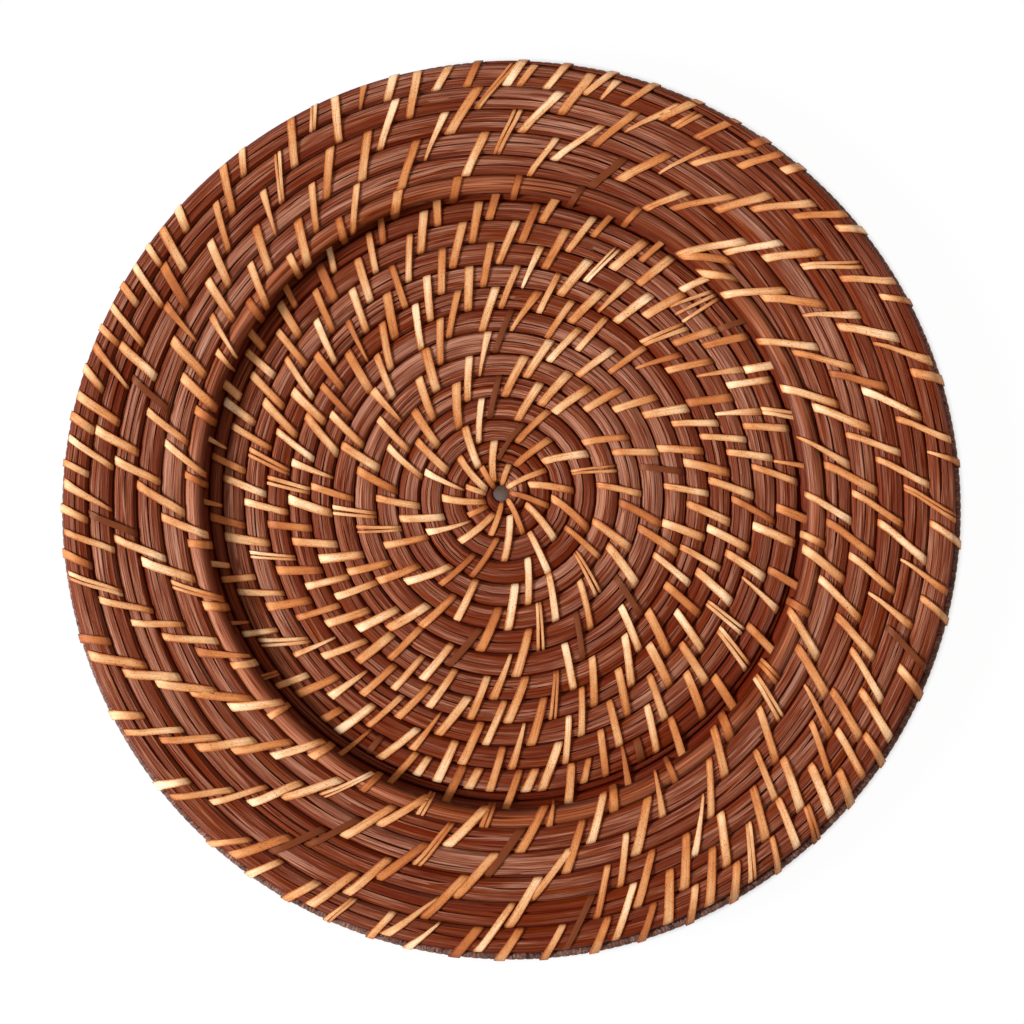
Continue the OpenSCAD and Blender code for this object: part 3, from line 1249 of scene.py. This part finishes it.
@dataclass
class EdgeHoop:
    """The hoop along the edge, bound with a fine strip that winds round it."""

    sizes: PlateSizes
    binding_w: float = 3.3 * MM
    groove_share: float = 0.14
    ridge_power: float = 0.35
    per_winding: int = 6
    sides: int = 8
    tone: float = 0.5

    def build(self) -> bpy.types.Object:
        """Builds the bound hoop.

        Returns:
            The finished piece.
        """
        windings = round(TURN * self.sizes.hoop_r / self.binding_w)
        stations = windings * self.per_winding
        angle = np.arange(stations) * TURN / stations
        turn = math.pi + np.arange(self.sides) * TURN / self.sides
        phase = (angle[:, None] * windings / TURN + turn[None, :] / TURN) % 1.0
        ridge = np.sin(math.pi * phase) ** self.ridge_power
        radius = self.sizes.hoop_d / 2 * (1 - self.groove_share * (1 - ridge))
        centre = self.sizes.hoop_r * heading(angle) + UP * self.sizes.hoop_z
        across = radius * np.cos(turn)[None, :]
        above = radius * np.sin(turn)[None, :]
        rings = centre[:, None] + across[..., None] * heading(angle)[:, None] + above[..., None] * UP
        mesh = SweptMesh()
        grain = (TURN * self.sizes.hoop_d / 2, TURN * self.sizes.hoop_r, 0.0)
        mesh.sweep(rings, self.tone, True, grain, np.full(stations, NEUTRAL))
        return mesh.piece("edge_hoop_bound", UMBER_BINDING.material())


class StripKind(Enum):
    """How a strip of peel turned out."""

    WHOLE = "whole"
    SPLIT = "split"
    POINTED = "pointed"
    STAINED = "stained"


@dataclass(frozen=True)
class StripCut:
    """How a strip, or a part of one that is split, differs from a plain strip."""

    aside: float = 0.0
    lean: float = 0.0
    width: float = 1.0
    tone: float = 1.0
    set_tone: float | None = None
    ends: tuple[float, float] = (0.92, 1.0)


KIND_SHARES = {
    StripKind.WHOLE: 0.81,
    StripKind.SPLIT: 0.06,
    StripKind.POINTED: 0.09,
    StripKind.STAINED: 0.04,
}
KIND_CUTS = {
    StripKind.WHOLE: [StripCut()],
    StripKind.SPLIT: [
        StripCut(aside=0.27, lean=-0.012, width=0.44, tone=0.9, ends=(1.0, 0.85)),
        StripCut(aside=-0.27, lean=0.01, width=0.52, ends=(0.85, 1.0)),
    ],
    StripKind.POINTED: [StripCut(ends=(0.35, 1.0))],
    StripKind.STAINED: [StripCut(width=0.9, set_tone=0.05, ends=(0.9, 0.9))],
}


@dataclass(frozen=True)
class Station:
    """One place along a strip: over an oval, or between its top and the next one's, in degrees."""

    oval: int
    angle: float
    between: bool = False


@dataclass
class StitchRow:
    """One row of peel strips, each closed round the rows that it ties."""

    name: str
    node: str
    sizes: PlateSizes
    floor: FloorWinding
    rim: RimWinding
    seed: int
    lean: float
    width: float = FLOOR_W
    width_luck: tuple[float, float] = (0.76, 1.12)
    tone: float = 0.6
    tone_spread: float = 0.15
    tone_range: tuple[float, float] = (0.28, 0.95)
    dip: float = 0.25 * MM
    edge_share: float = 0.36
    lean_spread: float = math.radians(4.5)

    def sections(self, angle: float, stations: np.ndarray) -> list[Oval]:
        """Gives what may lie under a strip, from the inside out, at each station.

        Args:
            angle: The strip's own angle.
            stations: The angle of each station.

        Returns:
            The ovals in order.
        """
        raise NotImplementedError

    def ovals(self, angle: float, stations: np.ndarray) -> list[Oval]:
        """Gives what a strip ties, without rows that are too thin at its own angle.

        Args:
            angle: The strip's own angle.
            stations: The angle of each station.

        Returns:
            The ovals in order.
        """
        here = self.sections(angle, np.array([angle]))
        pairs = zip(self.sections(angle, stations), here)
        return [oval for oval, own in pairs if own.half_w[0] * 2 > TIED_W]

    def path(self, count: int) -> list[Station]:
        """Lists the stations of a strip over and under its ovals.

        Args:
            count: Number of ovals.

        Returns:
            The stations, from the inner gap over the top and back underneath.
        """
        last = count - 1
        over = [Station(0, 180), Station(0, 152), Station(0, 122), Station(0, 90)]
        for oval in range(last):
            over += [Station(oval, 90, True), Station(oval + 1, 90)]
        over += [Station(last, 58), Station(last, 28), Station(last, 0)]
        under = [Station(last, -48), Station(last, -90)]
        if last > 0:
            under.append(Station(0, -90))
        return over + under + [Station(0, -132)]

    def lean_at(self, angle: float) -> float:
        """Gives the usual lean of the strips at an angle."""
        return self.lean

    def own_angle(self, centre: np.ndarray) -> float:
        """Gives a strip's angle from the middle of its CAD solid."""
        level = centre - self.sizes.floor_centre
        return math.atan2(level[1], level[0])

    def places(self, path: list[Station], ovals: list[Oval], proud: float) -> np.ndarray:
        """Finds the place of each station.

        Args:
            path: The stations.
            ovals: The ovals, each with as many stations.
            proud: Height over the ovals.

        Returns:
            One point for each station.
        """
        found = []
        for index, station in enumerate(path):
            here = np.array([index])
            angle = np.array([math.radians(station.angle)])
            place = ovals[station.oval].part(here).place(angle, proud)[0]
            if station.between:
                after = ovals[station.oval + 1].part(here).place(angle, proud)[0]
                place = (place + after) / 2 - UP * self.dip
            found.append(place)
        return np.array(found)

    def lay(
        self,
        mesh: SweptMesh,
        angle: float,
        lean: float,
        width: float,
        tone: float,
        ends: tuple[float, float],
    ) -> None:
        """Lays one strip.

        Args:
            mesh: Where it goes.
            angle: The strip's angle.
            lean: Its lean from the radius.
            width: Its width.
            tone: How light it is.
            ends: Share of the width that is left at its inner and outer end.
        """
        proud = STRIP_CLEAR + self.sizes.strip_t / 2
        path = self.path(len(self.ovals(angle, np.array([angle]))))
        flat = np.full(len(path), angle)
        first = self.places(path, self.ovals(angle, flat), proud)
        radius = self.distance(first)
        middle = (radius.min() + radius.max()) / 2
        turned = angle - math.tan(lean) * np.log(radius / middle)
        ovals = self.ovals(angle, turned)
        line = self.places(path, ovals, proud)
        reach = (radius - radius.min()) / (radius.max() - radius.min())
        side = np.stack([-np.sin(turned), np.cos(turned), np.zeros_like(turned)], axis=-1)
        along = np.roll(line, -1, axis=0) - np.roll(line, 1, axis=0)
        normal = np.cross(side, along)
        normal /= np.linalg.norm(normal, axis=1)[:, None]
        if np.sum(normal * (line - line.mean(axis=0))) < 0:
            normal = -normal
        room = self.room(radius)
        half = np.minimum(width, room) / 2 / math.cos(lean)
        half = half * (ends[0] + (ends[1] - ends[0]) * reach)
        thick = self.sizes.strip_t
        corners = [(-1, -0.5), (1, -0.5), (1, self.edge_share), (0, 0.5), (-1, self.edge_share)]
        rings = np.stack(
            [line + side * (half * x)[:, None] + normal * (thick * y) for x, y in corners], axis=1
        )
        rings[..., 2] = np.maximum(rings[..., 2], 0.0)
        shade = reach if math.sin(angle * SHADE_SCATTER) > SHADE_TURNED else 1 - reach
        grain_start = angle * GRAIN_PER_ANGLE + width * GRAIN_PER_WIDTH
        mesh.sweep(rings, tone, True, (1.0, 1.0, grain_start), shade)

    def distance(self, points: np.ndarray) -> np.ndarray:
        """Gives how far points are from the floor's middle."""
        return np.linalg.norm((points - self.sizes.floor_centre)[:, :2], axis=1)

    def room(self, radius: np.ndarray) -> np.ndarray:
        """Gives the widest that a strip may be at a radius."""
        return np.full_like(radius, AMPLE_ROOM)

    def strips(self) -> list[float]:
        """Lists the angles of the row's strips."""
        return [self.own_angle(centre) for centre in solid_centres(self.node)]

    def some_tone(self, rng: np.random.Generator, usual: float) -> float:
        """Picks how light a strip is."""
        return float(np.clip(rng.normal(usual, self.tone_spread), *self.tone_range))

    def build(self) -> bpy.types.Object:
        """Builds the whole row.

        Returns:
            The finished piece.
        """
        rng = np.random.default_rng(self.seed)
        mesh = SweptMesh()
        kinds = list(KIND_SHARES)
        shares = list(KIND_SHARES.values())
        for angle in self.strips():
            kind = kinds[rng.choice(len(kinds), p=shares)]
            lean = self.lean_at(angle) + rng.normal(0, self.lean_spread)
            width = self.width * rng.uniform(*self.width_luck)
            self.lay_kind(mesh, kind, angle, lean, width, self.some_tone(rng, self.tone))
        self.add_extras(mesh)
        return mesh.piece(self.name, HONEY_PEEL.material(), SHARP_EDGE)

    def add_extras(self, mesh: SweptMesh) -> None:
        """Adds the strips that are not stitches of the row; most rows have none."""

    def lay_kind(
        self, mesh: SweptMesh, kind: StripKind, angle: float, lean: float, width: float, tone: float
    ) -> None:
        """Lays a strip as it turned out.

        Args:
            mesh: Where it goes.
            kind: How the strip turned out.
            angle: The strip's angle.
            lean: Its lean from the radius.
            width: Its width.
            tone: How light it is.
        """
        inmost = self.ovals(angle, np.array([angle]))[0]
        radius = np.linalg.norm((inmost.centre - self.sizes.floor_centre)[0, :2])
        for cut in KIND_CUTS[kind]:
            self.lay(
                mesh,
                angle + cut.aside * width / radius,
                lean + cut.lean,
                width * cut.width,
                tone * cut.tone if cut.set_tone is None else cut.set_tone,
                cut.ends,
            )


@dataclass
class FloorStitches(StitchRow):
    """A row of strips on the floor."""

    row: int = 1

    def lines(self, angle: float, stations: np.ndarray, first: int) -> list[np.ndarray]:
        """Gives the lines on both sides of the rows that a strip ties.

        Args:
            angle: The strip's angle.
            stations: The angle of each station.
            first: Turn of the inner line.

        Returns:
            The inner, middle and outer line at each station.
        """
        turns = first + self.floor.turn_at(angle) + (stations - angle) / TURN
        return [self.floor.line(turns + step) for step in range(3)]

    def sections(self, angle: float, stations: np.ndarray) -> list[Oval]:
        """Gives the two floor rows under a strip.

        Args:
            angle: The strip's own angle.
            stations: The angle of each station.

        Returns:
            The ovals in order.
        """
        inner, middle, outer = self.lines(angle, stations, self.row - 1)
        return [
            self.floor.between(inner, middle, stations),
            self.floor.between(middle, outer, stations),
        ]

    def distance(self, points: np.ndarray) -> np.ndarray:
        """Gives how far points are from the middle of their own row."""
        return super().distance(points - self.floor.drift(super().distance(points)))

    def room(self, radius: np.ndarray) -> np.ndarray:
        """Gives the widest that a strip may be near the hole."""
        return TURN * radius / FIRST_STRIPS * ROOM_SHARE

    def own_angle(self, centre: np.ndarray) -> float:
        """Gives a strip's angle, with the inner rows turned to make room for their lean."""
        return super().own_angle(centre) + inner_turn(self.sizes, self.row)


@dataclass
class FrayedStitches(FloorStitches):
    """A floor row with one strip that is frayed into three, inside the splice of the rod."""

    frayed_w: float = 1.4 * MM
    frayed_angle: float = math.radians(45.4)
    frayed_step: float = math.radians(1.6)
    frayed_lean: float = math.radians(8)
    frayed_ends: tuple[float, float] = (0.8, 1.0)
    cleared_steps: float = 1.5

    def strips(self) -> list[float]:
        """Lists the angles of the whole strips."""
        cleared = self.cleared_steps * self.frayed_step
        return [angle for angle in super().strips() if abs(angle - self.frayed_angle) > cleared]

    def add_extras(self, mesh: SweptMesh) -> None:
        """Fans the three thin strips out.

        Args:
            mesh: Where they go.
        """
        for step in range(-1, 2):
            angle = self.frayed_angle - self.frayed_step * step
            lean = FLOOR_LEAN - self.frayed_lean * step
            self.lay(mesh, angle, lean, self.frayed_w, self.tone, self.frayed_ends)


def cad_lean(sizes: PlateSizes, row: int) -> float:
    """Gives the lean of the CAD strips in a floor row.

    Args:
        sizes: The plate's sizes.
        row: The floor row.

    Returns:
        The lean from the radius.
    """
    radius = sizes.hole_r + sizes.floor_pitch * row
    limit = math.atan(CAD_LEAN_LIMIT_SHARE * (radius - sizes.floor_pitch) / sizes.floor_pitch)
    return min(CAD_LEAN, limit)


def inner_turn(sizes: PlateSizes, row: int) -> float:
    """Turns an inner floor row so that leaning strips lie beside the next row's.

    Args:
        sizes: The plate's sizes.
        row: The floor row.

    Returns:
        The angle to add, zero where the CAD strips have their full lean.
    """
    turn = 0.0
    for inner in range(row, INNER_ROWS):
        more = math.tan(INNER_LEAN) - math.tan(cad_lean(sizes, inner))
        turn += sizes.floor_pitch * max(more, 0) / (sizes.hole_r + sizes.floor_pitch * (inner + 0.5))
    return turn


@dataclass
class FirstStitches(FloorStitches):
    """The first floor row, with the short strips that start in the hole."""

    tone_spread: float = 0.1
    tone_range: tuple[float, float] = (0.3, 0.95)
    ends: tuple[float, float] = (0.9, 1.0)
    short_lean_share: float = 0.6
    short_w_share: float = 0.8
    short_shade: float = 0.1

    def build(self) -> bpy.types.Object:
        """Builds both kinds of strips.

        Returns:
            The finished piece.
        """
        rng = np.random.default_rng(self.seed)
        mesh = SweptMesh()
        for angle in self.strips():
            tone = self.some_tone(rng, self.tone)
            self.lay(mesh, angle, self.lean, self.width, tone, self.ends)
        self.row = 0
        lean = self.lean * self.short_lean_share
        width = self.width * self.short_w_share
        for angle in self.strips():
            tone = self.some_tone(rng, self.tone - self.short_shade)
            self.lay(mesh, angle, lean, width, tone, self.ends)
        return mesh.piece(self.name, HONEY_PEEL.material(), SHARP_EDGE)

    def sections(self, angle: float, stations: np.ndarray) -> list[Oval]:
        """Gives the floor rows under a strip, as one where the inner one is still too thin.

        Args:
            angle: The strip's own angle.
            stations: The angle of each station.

        Returns:
            The ovals in order.
        """
        inner, middle, outer = self.lines(angle, stations, self.row - 1)
        own_lines = self.lines(angle, np.array([angle]), self.row - 1)
        own_width = np.ptp([line[0] for line in own_lines[:2]])
        if own_width < TAPER_W + self.sizes.row_gap:
            return [self.floor.between(inner, outer, stations)]
        return super().sections(angle, stations)


@dataclass
class FootStitches(StitchRow):
    """The strips that tie the foot ring to the last floor row."""

    def sections(self, angle: float, stations: np.ndarray) -> list[Oval]:
        """Gives the last floor row and the foot ring.

        Args:
            angle: The strip's own angle.
            stations: The angle of each station.

        Returns:
            The ovals in order.
        """
        turns = math.ceil(FLOOR_TURNS) - 1 + self.floor.turn_at(angle) + (stations - angle) / TURN
        last = self.floor.line(turns)
        own_last = self.floor.line(math.ceil(FLOOR_TURNS) - 1 + self.floor.turn_at(angle))
        if self.sizes.floor_r - own_last <= self.sizes.floor_pitch * LAP_SHARE:
            last = last - self.sizes.floor_pitch
        edge = np.full_like(stations, self.sizes.floor_r)
        return [self.floor.between(last, edge, stations), foot_oval(self.sizes, stations)]


def foot_oval(sizes: PlateSizes, stations: np.ndarray) -> Oval:
    """Gives the foot ring's section at some angles.

    Args:
        sizes: The plate's sizes.
        stations: The angles.

    Returns:
        The ovals, one at each angle.
    """
    count = len(stations)
    radius = sizes.foot_r + FOOT_FOLLOWS * shoulder_bulge(stations)
    centre = sizes.floor_centre + radius[:, None] * heading(stations) + UP * sizes.foot_top / 2
    return Oval(
        centre, heading(stations), np.full(count, sizes.foot_w / 2), np.full(count, sizes.foot_top / 2)
    )


def rod_oval(sizes: PlateSizes, stations: np.ndarray) -> Oval:
    """Gives the shoulder rod's section at some angles.

    Args:
        sizes: The plate's sizes.
        stations: The angles.

    Returns:
        The ovals, one at each angle.
    """
    half = np.full(len(stations), sizes.shoulder_d / 2)
    radius = sizes.shoulder_r + shoulder_bulge(stations)
    centre = sizes.floor_centre + radius[:, None] * heading(stations) + UP * sizes.shoulder_z
    return Oval(centre, heading(stations), half, half)


def rod_packing(sizes: PlateSizes, stations: np.ndarray) -> Oval:
    """Gives the section of the foot ring's packing, which fills the gap below the rod, at some angles.

    Args:
        sizes: The plate's sizes.
        stations: The angles.

    Returns:
        The ovals, one at each angle.
    """
    rod = rod_oval(sizes, stations)
    low = sizes.foot_top - PACKING_PRESS
    high = sizes.shoulder_z - sizes.shoulder_d / 2 + PACKING_PRESS
    centre = rod.centre * [1, 1, 0] + UP * (low + high) / 2
    half_h = np.full(len(stations), (high - low) / 2)
    return Oval(centre, rod.out, np.full(len(stations), PACKING_W / 2), half_h)


@dataclass
class RodWraps(StitchRow):
    """Strips that are wound round the shoulder rod, and the thin start of the rim beside it."""

    def sections(self, angle: float, stations: np.ndarray) -> list[Oval]:
        """Gives the rod and the start of the rim.

        Args:
            angle: The strip's own angle.
            stations: The angle of each station.

        Returns:
            The ovals in order.
        """
        turns = self.rim.turn_at(angle) + (stations - angle) / TURN
        start = self.rim.between(self.rim.line(turns - 1), self.rim.line(turns), stations)
        return [rod_oval(self.sizes, stations), start]


@dataclass
class ShoulderStitches(StitchRow):
    """The strips that tie the shoulder rod to the foot ring below it."""

    def sections(self, angle: float, stations: np.ndarray) -> list[Oval]:
        """Gives the rod and the foot ring."""
        return [rod_oval(self.sizes, stations), foot_oval(self.sizes, stations)]

    def path(self, count: int) -> list[Station]:
        """Lists the stations over the rod and under the foot ring.

        Args:
            count: Number of ovals; not used.

        Returns:
            The stations in order.
        """
        over = [Station(0, angle) for angle in (205, 165, 130, 90, 50, 15, -25)]
        under = [Station(1, angle) for angle in (0, -50, -90, -130, 180)]
        return over + under

    def add_extras(self, mesh: SweptMesh) -> None:
        """Winds the orange strips round the splice of the rod.

        Args:
            mesh: Where they go.
        """
        wraps = RodWraps(
            self.name, self.node, self.sizes, self.floor, self.rim, seed=self.seed, lean=self.lean
        )
        for step, width, tone, ends in SPLICE_WRAPS:
            wraps.lay(mesh, SPLICE_ANGLE - SPLICE_STEP * step, SPLICE_LEAN, width, tone, ends)


@dataclass
class RimStitches(StitchRow):
    """A row of strips on the rim."""

    row: int = 1

    def own_angle(self, centre: np.ndarray) -> float:
        """Gives a strip's angle about the middle of its own row.

        Args:
            centre: Middle of its CAD solid.

        Returns:
            The angle.
        """
        reach = np.linalg.norm((centre - self.sizes.floor_centre)[:2])
        share = np.clip((reach - self.sizes.rim_in) / (self.sizes.rim_out - self.sizes.rim_in), 0, 1)
        middle = (1 - share) * self.sizes.floor_centre + share * self.sizes.edge_centre
        return math.atan2(centre[1] - middle[1], centre[0] - middle[0])

    def lean_at(self, angle: float) -> float:
        """Gives the usual lean, which is more at the upper right and the lower left."""
        return self.lean + RIM_LEAN_CHANGE * math.cos(2 * (angle - RIM_LEAN_MOST))

    def rim_turns(self, angle: float, stations: np.ndarray) -> np.ndarray:
        """Gives the part of a turn at each station, unbroken along the strip."""
        return self.rim.turn_at(angle) + (stations - angle) / TURN

    def sections(self, angle: float, stations: np.ndarray) -> list[Oval]:
        """Gives the rim rows, and for the first strips the rod, under a strip.

        Args:
            angle: The strip's own angle.
            stations: The angle of each station.

        Returns:
            The ovals in order.
        """
        turns = self.rim_turns(angle, stations)
        low, middle, high = (self.rim.line(self.row - 2 + turns + step) for step in range(3))
        rows = [self.rim.between(low, middle, stations), self.rim.between(middle, high, stations)]
        own_line = self.rim.line(self.rim.turn_at(angle)) * RIM_ROWS
        if self.row == 1 and own_line < LAP_SHARE:
            rows.insert(0, rod_oval(self.sizes, stations))
        return rows


@dataclass
class EdgeStitches(RimStitches):
    """The strips that tie the edge hoop to the last rim row."""

    def sections(self, angle: float, stations: np.ndarray) -> list[Oval]:
        """Gives the last rim row and the hoop.

        Args:
            angle: The strip's own angle.
            stations: The angle of each station.

        Returns:
            The ovals in order.
        """
        turns = self.rim_turns(angle, stations)
        last = self.rim.line(RIM_ROWS - 1 + turns)
        before = self.rim.line(RIM_ROWS - 2 + turns)
        edge = self.rim.line(RIM_ROWS + turns)
        own_line = self.rim.line(RIM_ROWS - 1 + self.rim.turn_at(angle))
        low = last if (1 - own_line) * RIM_ROWS > LAP_SHARE else before
        rows = [self.rim.between(low, edge, stations)]
        half = np.full(len(stations), self.sizes.hoop_d / 2)
        centre = self.sizes.hoop_r * heading(stations) + UP * self.sizes.hoop_z
        return rows + [Oval(centre, heading(stations), half, half)]

    def path(self, count: int) -> list[Station]:
        """Lists the stations over the last row, round the hoop and back.

        Args:
            count: Number of ovals; not used.

        Returns:
            The stations in order.
        """
        over = [Station(0, angle) for angle in (180, 152, 122, 90, 58, 28)]
        round_hoop = [Station(1, angle) for angle in (30, -10, -60)]
        return over + round_hoop + [Station(0, -50), Station(0, -90), Station(0, -132)]


@dataclass
class Studio:
    """Pale floor, white surroundings, soft light and the camera above the plate."""

    plate_r: float
    floor_side: float = 4.0
    floor_drop: float = 0.2 * MM
    floor_colour: tuple = srgb(234, 236, 240)
    white_from: float = 0.985
    white_to: float = 1.015
    white_share: float = 0.97
    photo_px: int = 1024
    plate_px: float = 904.0
    middle_px: tuple[float, float] = (511.5, 510.3)
    camera_height: float = 1.7
    outline_z: float = 15 * MM
    sensor: float = 36.0
    ambient: float = 0.35
    ambient_tint: tuple = srgb(255, 224, 198)
    key_place: tuple[float, float, float] = (-3.4, -0.6, 2.2)
    key_size: float = 1.1
    key_power: float = 290.0
    fill_place: tuple[float, float, float] = (0.6, 0.7, 1.2)
    fill_size: float = 1.2
    fill_power: float = 4.5

    def light_ray(self, tree: NodeTree) -> bpy.types.NodeSocket:
        """Tells the rays that see the background from those that light things.

        Args:
            tree: The material's nodes.

        Returns:
            A socket that is 1 for the rays that see it.
        """
        path = tree.add("ShaderNodeLightPath")
        glossy = tree.math("MAXIMUM", path.outputs["Is Camera Ray"], path.outputs["Is Glossy Ray"])
        return tree.math("MAXIMUM", glossy, path.outputs["Is Transmission Ray"])

    def floor(self) -> None:
        """Lays the floor, white around the plate and shaded under it."""
        shape = bmesh.new()
        bmesh.ops.create_grid(shape, x_segments=2, y_segments=2, size=self.floor_side / 2)
        mesh = bpy.data.meshes.new("table")
        shape.to_mesh(mesh)
        shape.free()
        mesh.transform(Matrix.Translation((0, 0, -self.floor_drop)))
        tree = NodeTree("table_white")
        coordinates = tree.add("ShaderNodeTexCoord")
        distance = tree.add("ShaderNodeVectorMath", operation="LENGTH")
        tree.join(coordinates.outputs["Object"], distance.inputs[0])
        near = self.plate_r * self.white_from
        far = self.plate_r * self.white_to
        whiter = tree.steps(distance.outputs["Value"], near, far, 0, self.white_share, "SMOOTHSTEP")
        shaded = tree.add("ShaderNodeBsdfDiffuse")
        shaded.inputs["Color"].default_value = self.floor_colour
        white = tree.add("ShaderNodeEmission")
        mix = tree.add("ShaderNodeMixShader")
        tree.join(tree.math("MULTIPLY", whiter, self.light_ray(tree)), mix.inputs[0])
        tree.join(shaded.outputs["BSDF"], mix.inputs[1])
        tree.join(white.outputs["Emission"], mix.inputs[2])
        output = tree.add("ShaderNodeOutputMaterial")
        tree.join(mix.outputs["Shader"], output.inputs["Surface"])
        mesh.materials.append(tree.material)
        table = bpy.data.objects.new("table", mesh)
        bpy.context.scene.collection.objects.link(table)

    def surroundings(self) -> None:
        """Sets the world: white where it is seen, and a soft level of light."""
        world = bpy.data.worlds.new("white_room")
        world.use_nodes = True
        nodes, links = world.node_tree.nodes, world.node_tree.links
        nodes.clear()
        path = nodes.new("ShaderNodeLightPath")
        seen = nodes.new("ShaderNodeMath")
        seen.operation = "MAXIMUM"
        links.new(path.outputs["Is Camera Ray"], seen.inputs[0])
        links.new(path.outputs["Is Transmission Ray"], seen.inputs[1])
        mix = nodes.new("ShaderNodeMixShader")
        links.new(seen.outputs[0], mix.inputs[0])
        levels = [(self.ambient_tint, self.ambient), (srgb(255, 255, 255), 1.0)]
        for (colour, strength), target in zip(levels, list(mix.inputs)[1:]):
            background = nodes.new("ShaderNodeBackground")
            background.inputs["Color"].default_value = colour
            background.inputs["Strength"].default_value = strength
            links.new(background.outputs["Background"], target)
        output = nodes.new("ShaderNodeOutputWorld")
        links.new(mix.outputs["Shader"], output.inputs["Surface"])
        bpy.context.scene.world = world

    def lamp(self, name: str, place: tuple[float, float, float], size: float, power: float) -> None:
        """Hangs one soft lamp that faces the plate.

        Args:
            name: The lamp's name.
            place: Where it hangs.
            size: Side of its square.
            power: Its power in watts.
        """
        light = bpy.data.lights.new(name, "AREA")
        light.size = size
        light.energy = power
        lamp = bpy.data.objects.new(name, light)
        lamp.location = place
        lamp.rotation_euler = (-Vector(place)).to_track_quat("-Z", "Y").to_euler()
        bpy.context.scene.collection.objects.link(lamp)

    def camera(self) -> None:
        """Hangs the camera straight above the plate."""
        scale = self.plate_r * 2 / self.plate_px
        data = bpy.data.cameras.new("camera")
        data.sensor_width = self.sensor
        data.lens = self.sensor * (self.camera_height - self.outline_z) / (scale * self.photo_px)
        camera = bpy.data.objects.new("camera", data)
        half = self.photo_px / 2
        right = (half - self.middle_px[0]) * scale
        away = (self.middle_px[1] - half) * scale
        camera.location = (right, away, self.camera_height)
        bpy.context.scene.collection.objects.link(camera)
        bpy.context.scene.camera = camera

    def set_up(self) -> None:
        """Sets up the floor, the light and the camera."""
        self.floor()
        self.surroundings()
        self.lamp("key", self.key_place, self.key_size, self.key_power)
        self.lamp("fill", self.fill_place, self.fill_size, self.fill_power)
        self.camera()
        bpy.context.scene.view_settings.view_transform = "Standard"


def build_coils(sizes: PlateSizes, floor: FloorWinding, rim: RimWinding) -> None:
    """Builds the coils, the rods and the hoop.

    Args:
        sizes: The plate's sizes.
        floor: The floor's winding.
        rim: The rim's winding.
    """
    coil = Bundle("floor_coil_splits", seed=11, strands=15, strand_t=0.5 * MM, painted_taper_shade=1.4)
    turns = floor.stations(coil.step, coil.least_per_turn)
    settle(coil.build(floor.row(turns), False), ["floor_coil"])
    border = Bundle("rim_coil_splits", seed=12, strands=16, strand_t=0.45 * MM)
    turns = rim.stations(border.step, border.least_per_turn)
    settle(border.build(rim.row(turns), False), ["rim_coil"])
    # Painted shade: the foot ring's splits get a low tone, dark in the groove under the rod.
    foot = Bundle("foot_ring_splits", seed=13, strands=15, strand_t=0.5 * MM, tone=0.2)
    angles = np.arange(FOOT_STATIONS) * TURN / FOOT_STATIONS
    ring = foot_oval(sizes, angles)
    half_w = ring.half_w + sizes.row_gap * FOOT_FILL_SHARE
    skin = Oval(ring.centre, ring.out, half_w, ring.half_h, FOOT_CORNERS)
    settle(foot.build(skin, True, rod_packing(sizes, angles)), ["foot_ring"])
    settle(ShoulderRod(sizes).build(), ["shoulder_rod"])
    settle(EdgeHoop(sizes).build(), ["edge_hoop"])


def build_stitches(sizes: PlateSizes, floor: FloorWinding, rim: RimWinding) -> None:
    """Builds every row of stitches.

    Args:
        sizes: The plate's sizes.
        floor: The floor's winding.
        rim: The rim's winding.
    """
    shared = {"sizes": sizes, "floor": floor, "rim": rim}
    kinds = {1: FirstStitches, FRAYED_ROW: FrayedStitches}
    rows: list[StitchRow] = [
        kinds.get(row, FloorStitches)(
            f"floor_peel_{row:02d}",
            f"floor_stitches_{row:02d}",
            seed=100 + row,
            lean=INNER_LEAN if row < INNER_ROWS else FLOOR_LEAN,
            width=INNER_W if row < NARROW_ROWS else FLOOR_W,
            row=row,
            **shared,
        )
        for row in range(1, math.ceil(FLOOR_TURNS))
    ]
    shared["lean"] = FLOOR_LEAN
    rows.append(FootStitches("foot_peel", "foot_stitches", seed=121, tone=0.46, **shared))
    rows.append(ShoulderStitches("shoulder_peel", "shoulder_stitches", seed=122, tone=0.38, **shared))
    shared["lean"] = RIM_LEAN
    for row in range(1, RIM_ROWS + 1):
        rows.append(RimStitches(f"rim_peel_{row}", f"rim_stitches_{row}", seed=130 + row, row=row, **shared))
    rows.append(EdgeStitches("edge_peel", "edge_stitches", seed=141, **shared))
    for row in rows:
        settle(row.build(), [row.node])


def main() -> None:
    """Builds the plate, its finishes and the studio in order."""
    logging.basicConfig(level=logging.INFO, format="%(name)s: %(message)s")
    sizes = PlateSizes.from_frame()
    floor = FloorWinding(sizes, FLOOR_START, math.ceil(FLOOR_TURNS), power=FLOOR_CORNERS)
    rim = RimWinding(sizes, RAMP_END, RIM_ROWS, power=RIM_CORNERS)
    build_coils(sizes, floor, rim)
    build_stitches(sizes, floor, rim)
    Studio(plate_r=sizes.hoop_r + sizes.hoop_d / 2 + sizes.strip_t + 2 * STRIP_CLEAR).set_up()


if __name__ == "__main__":
    main()
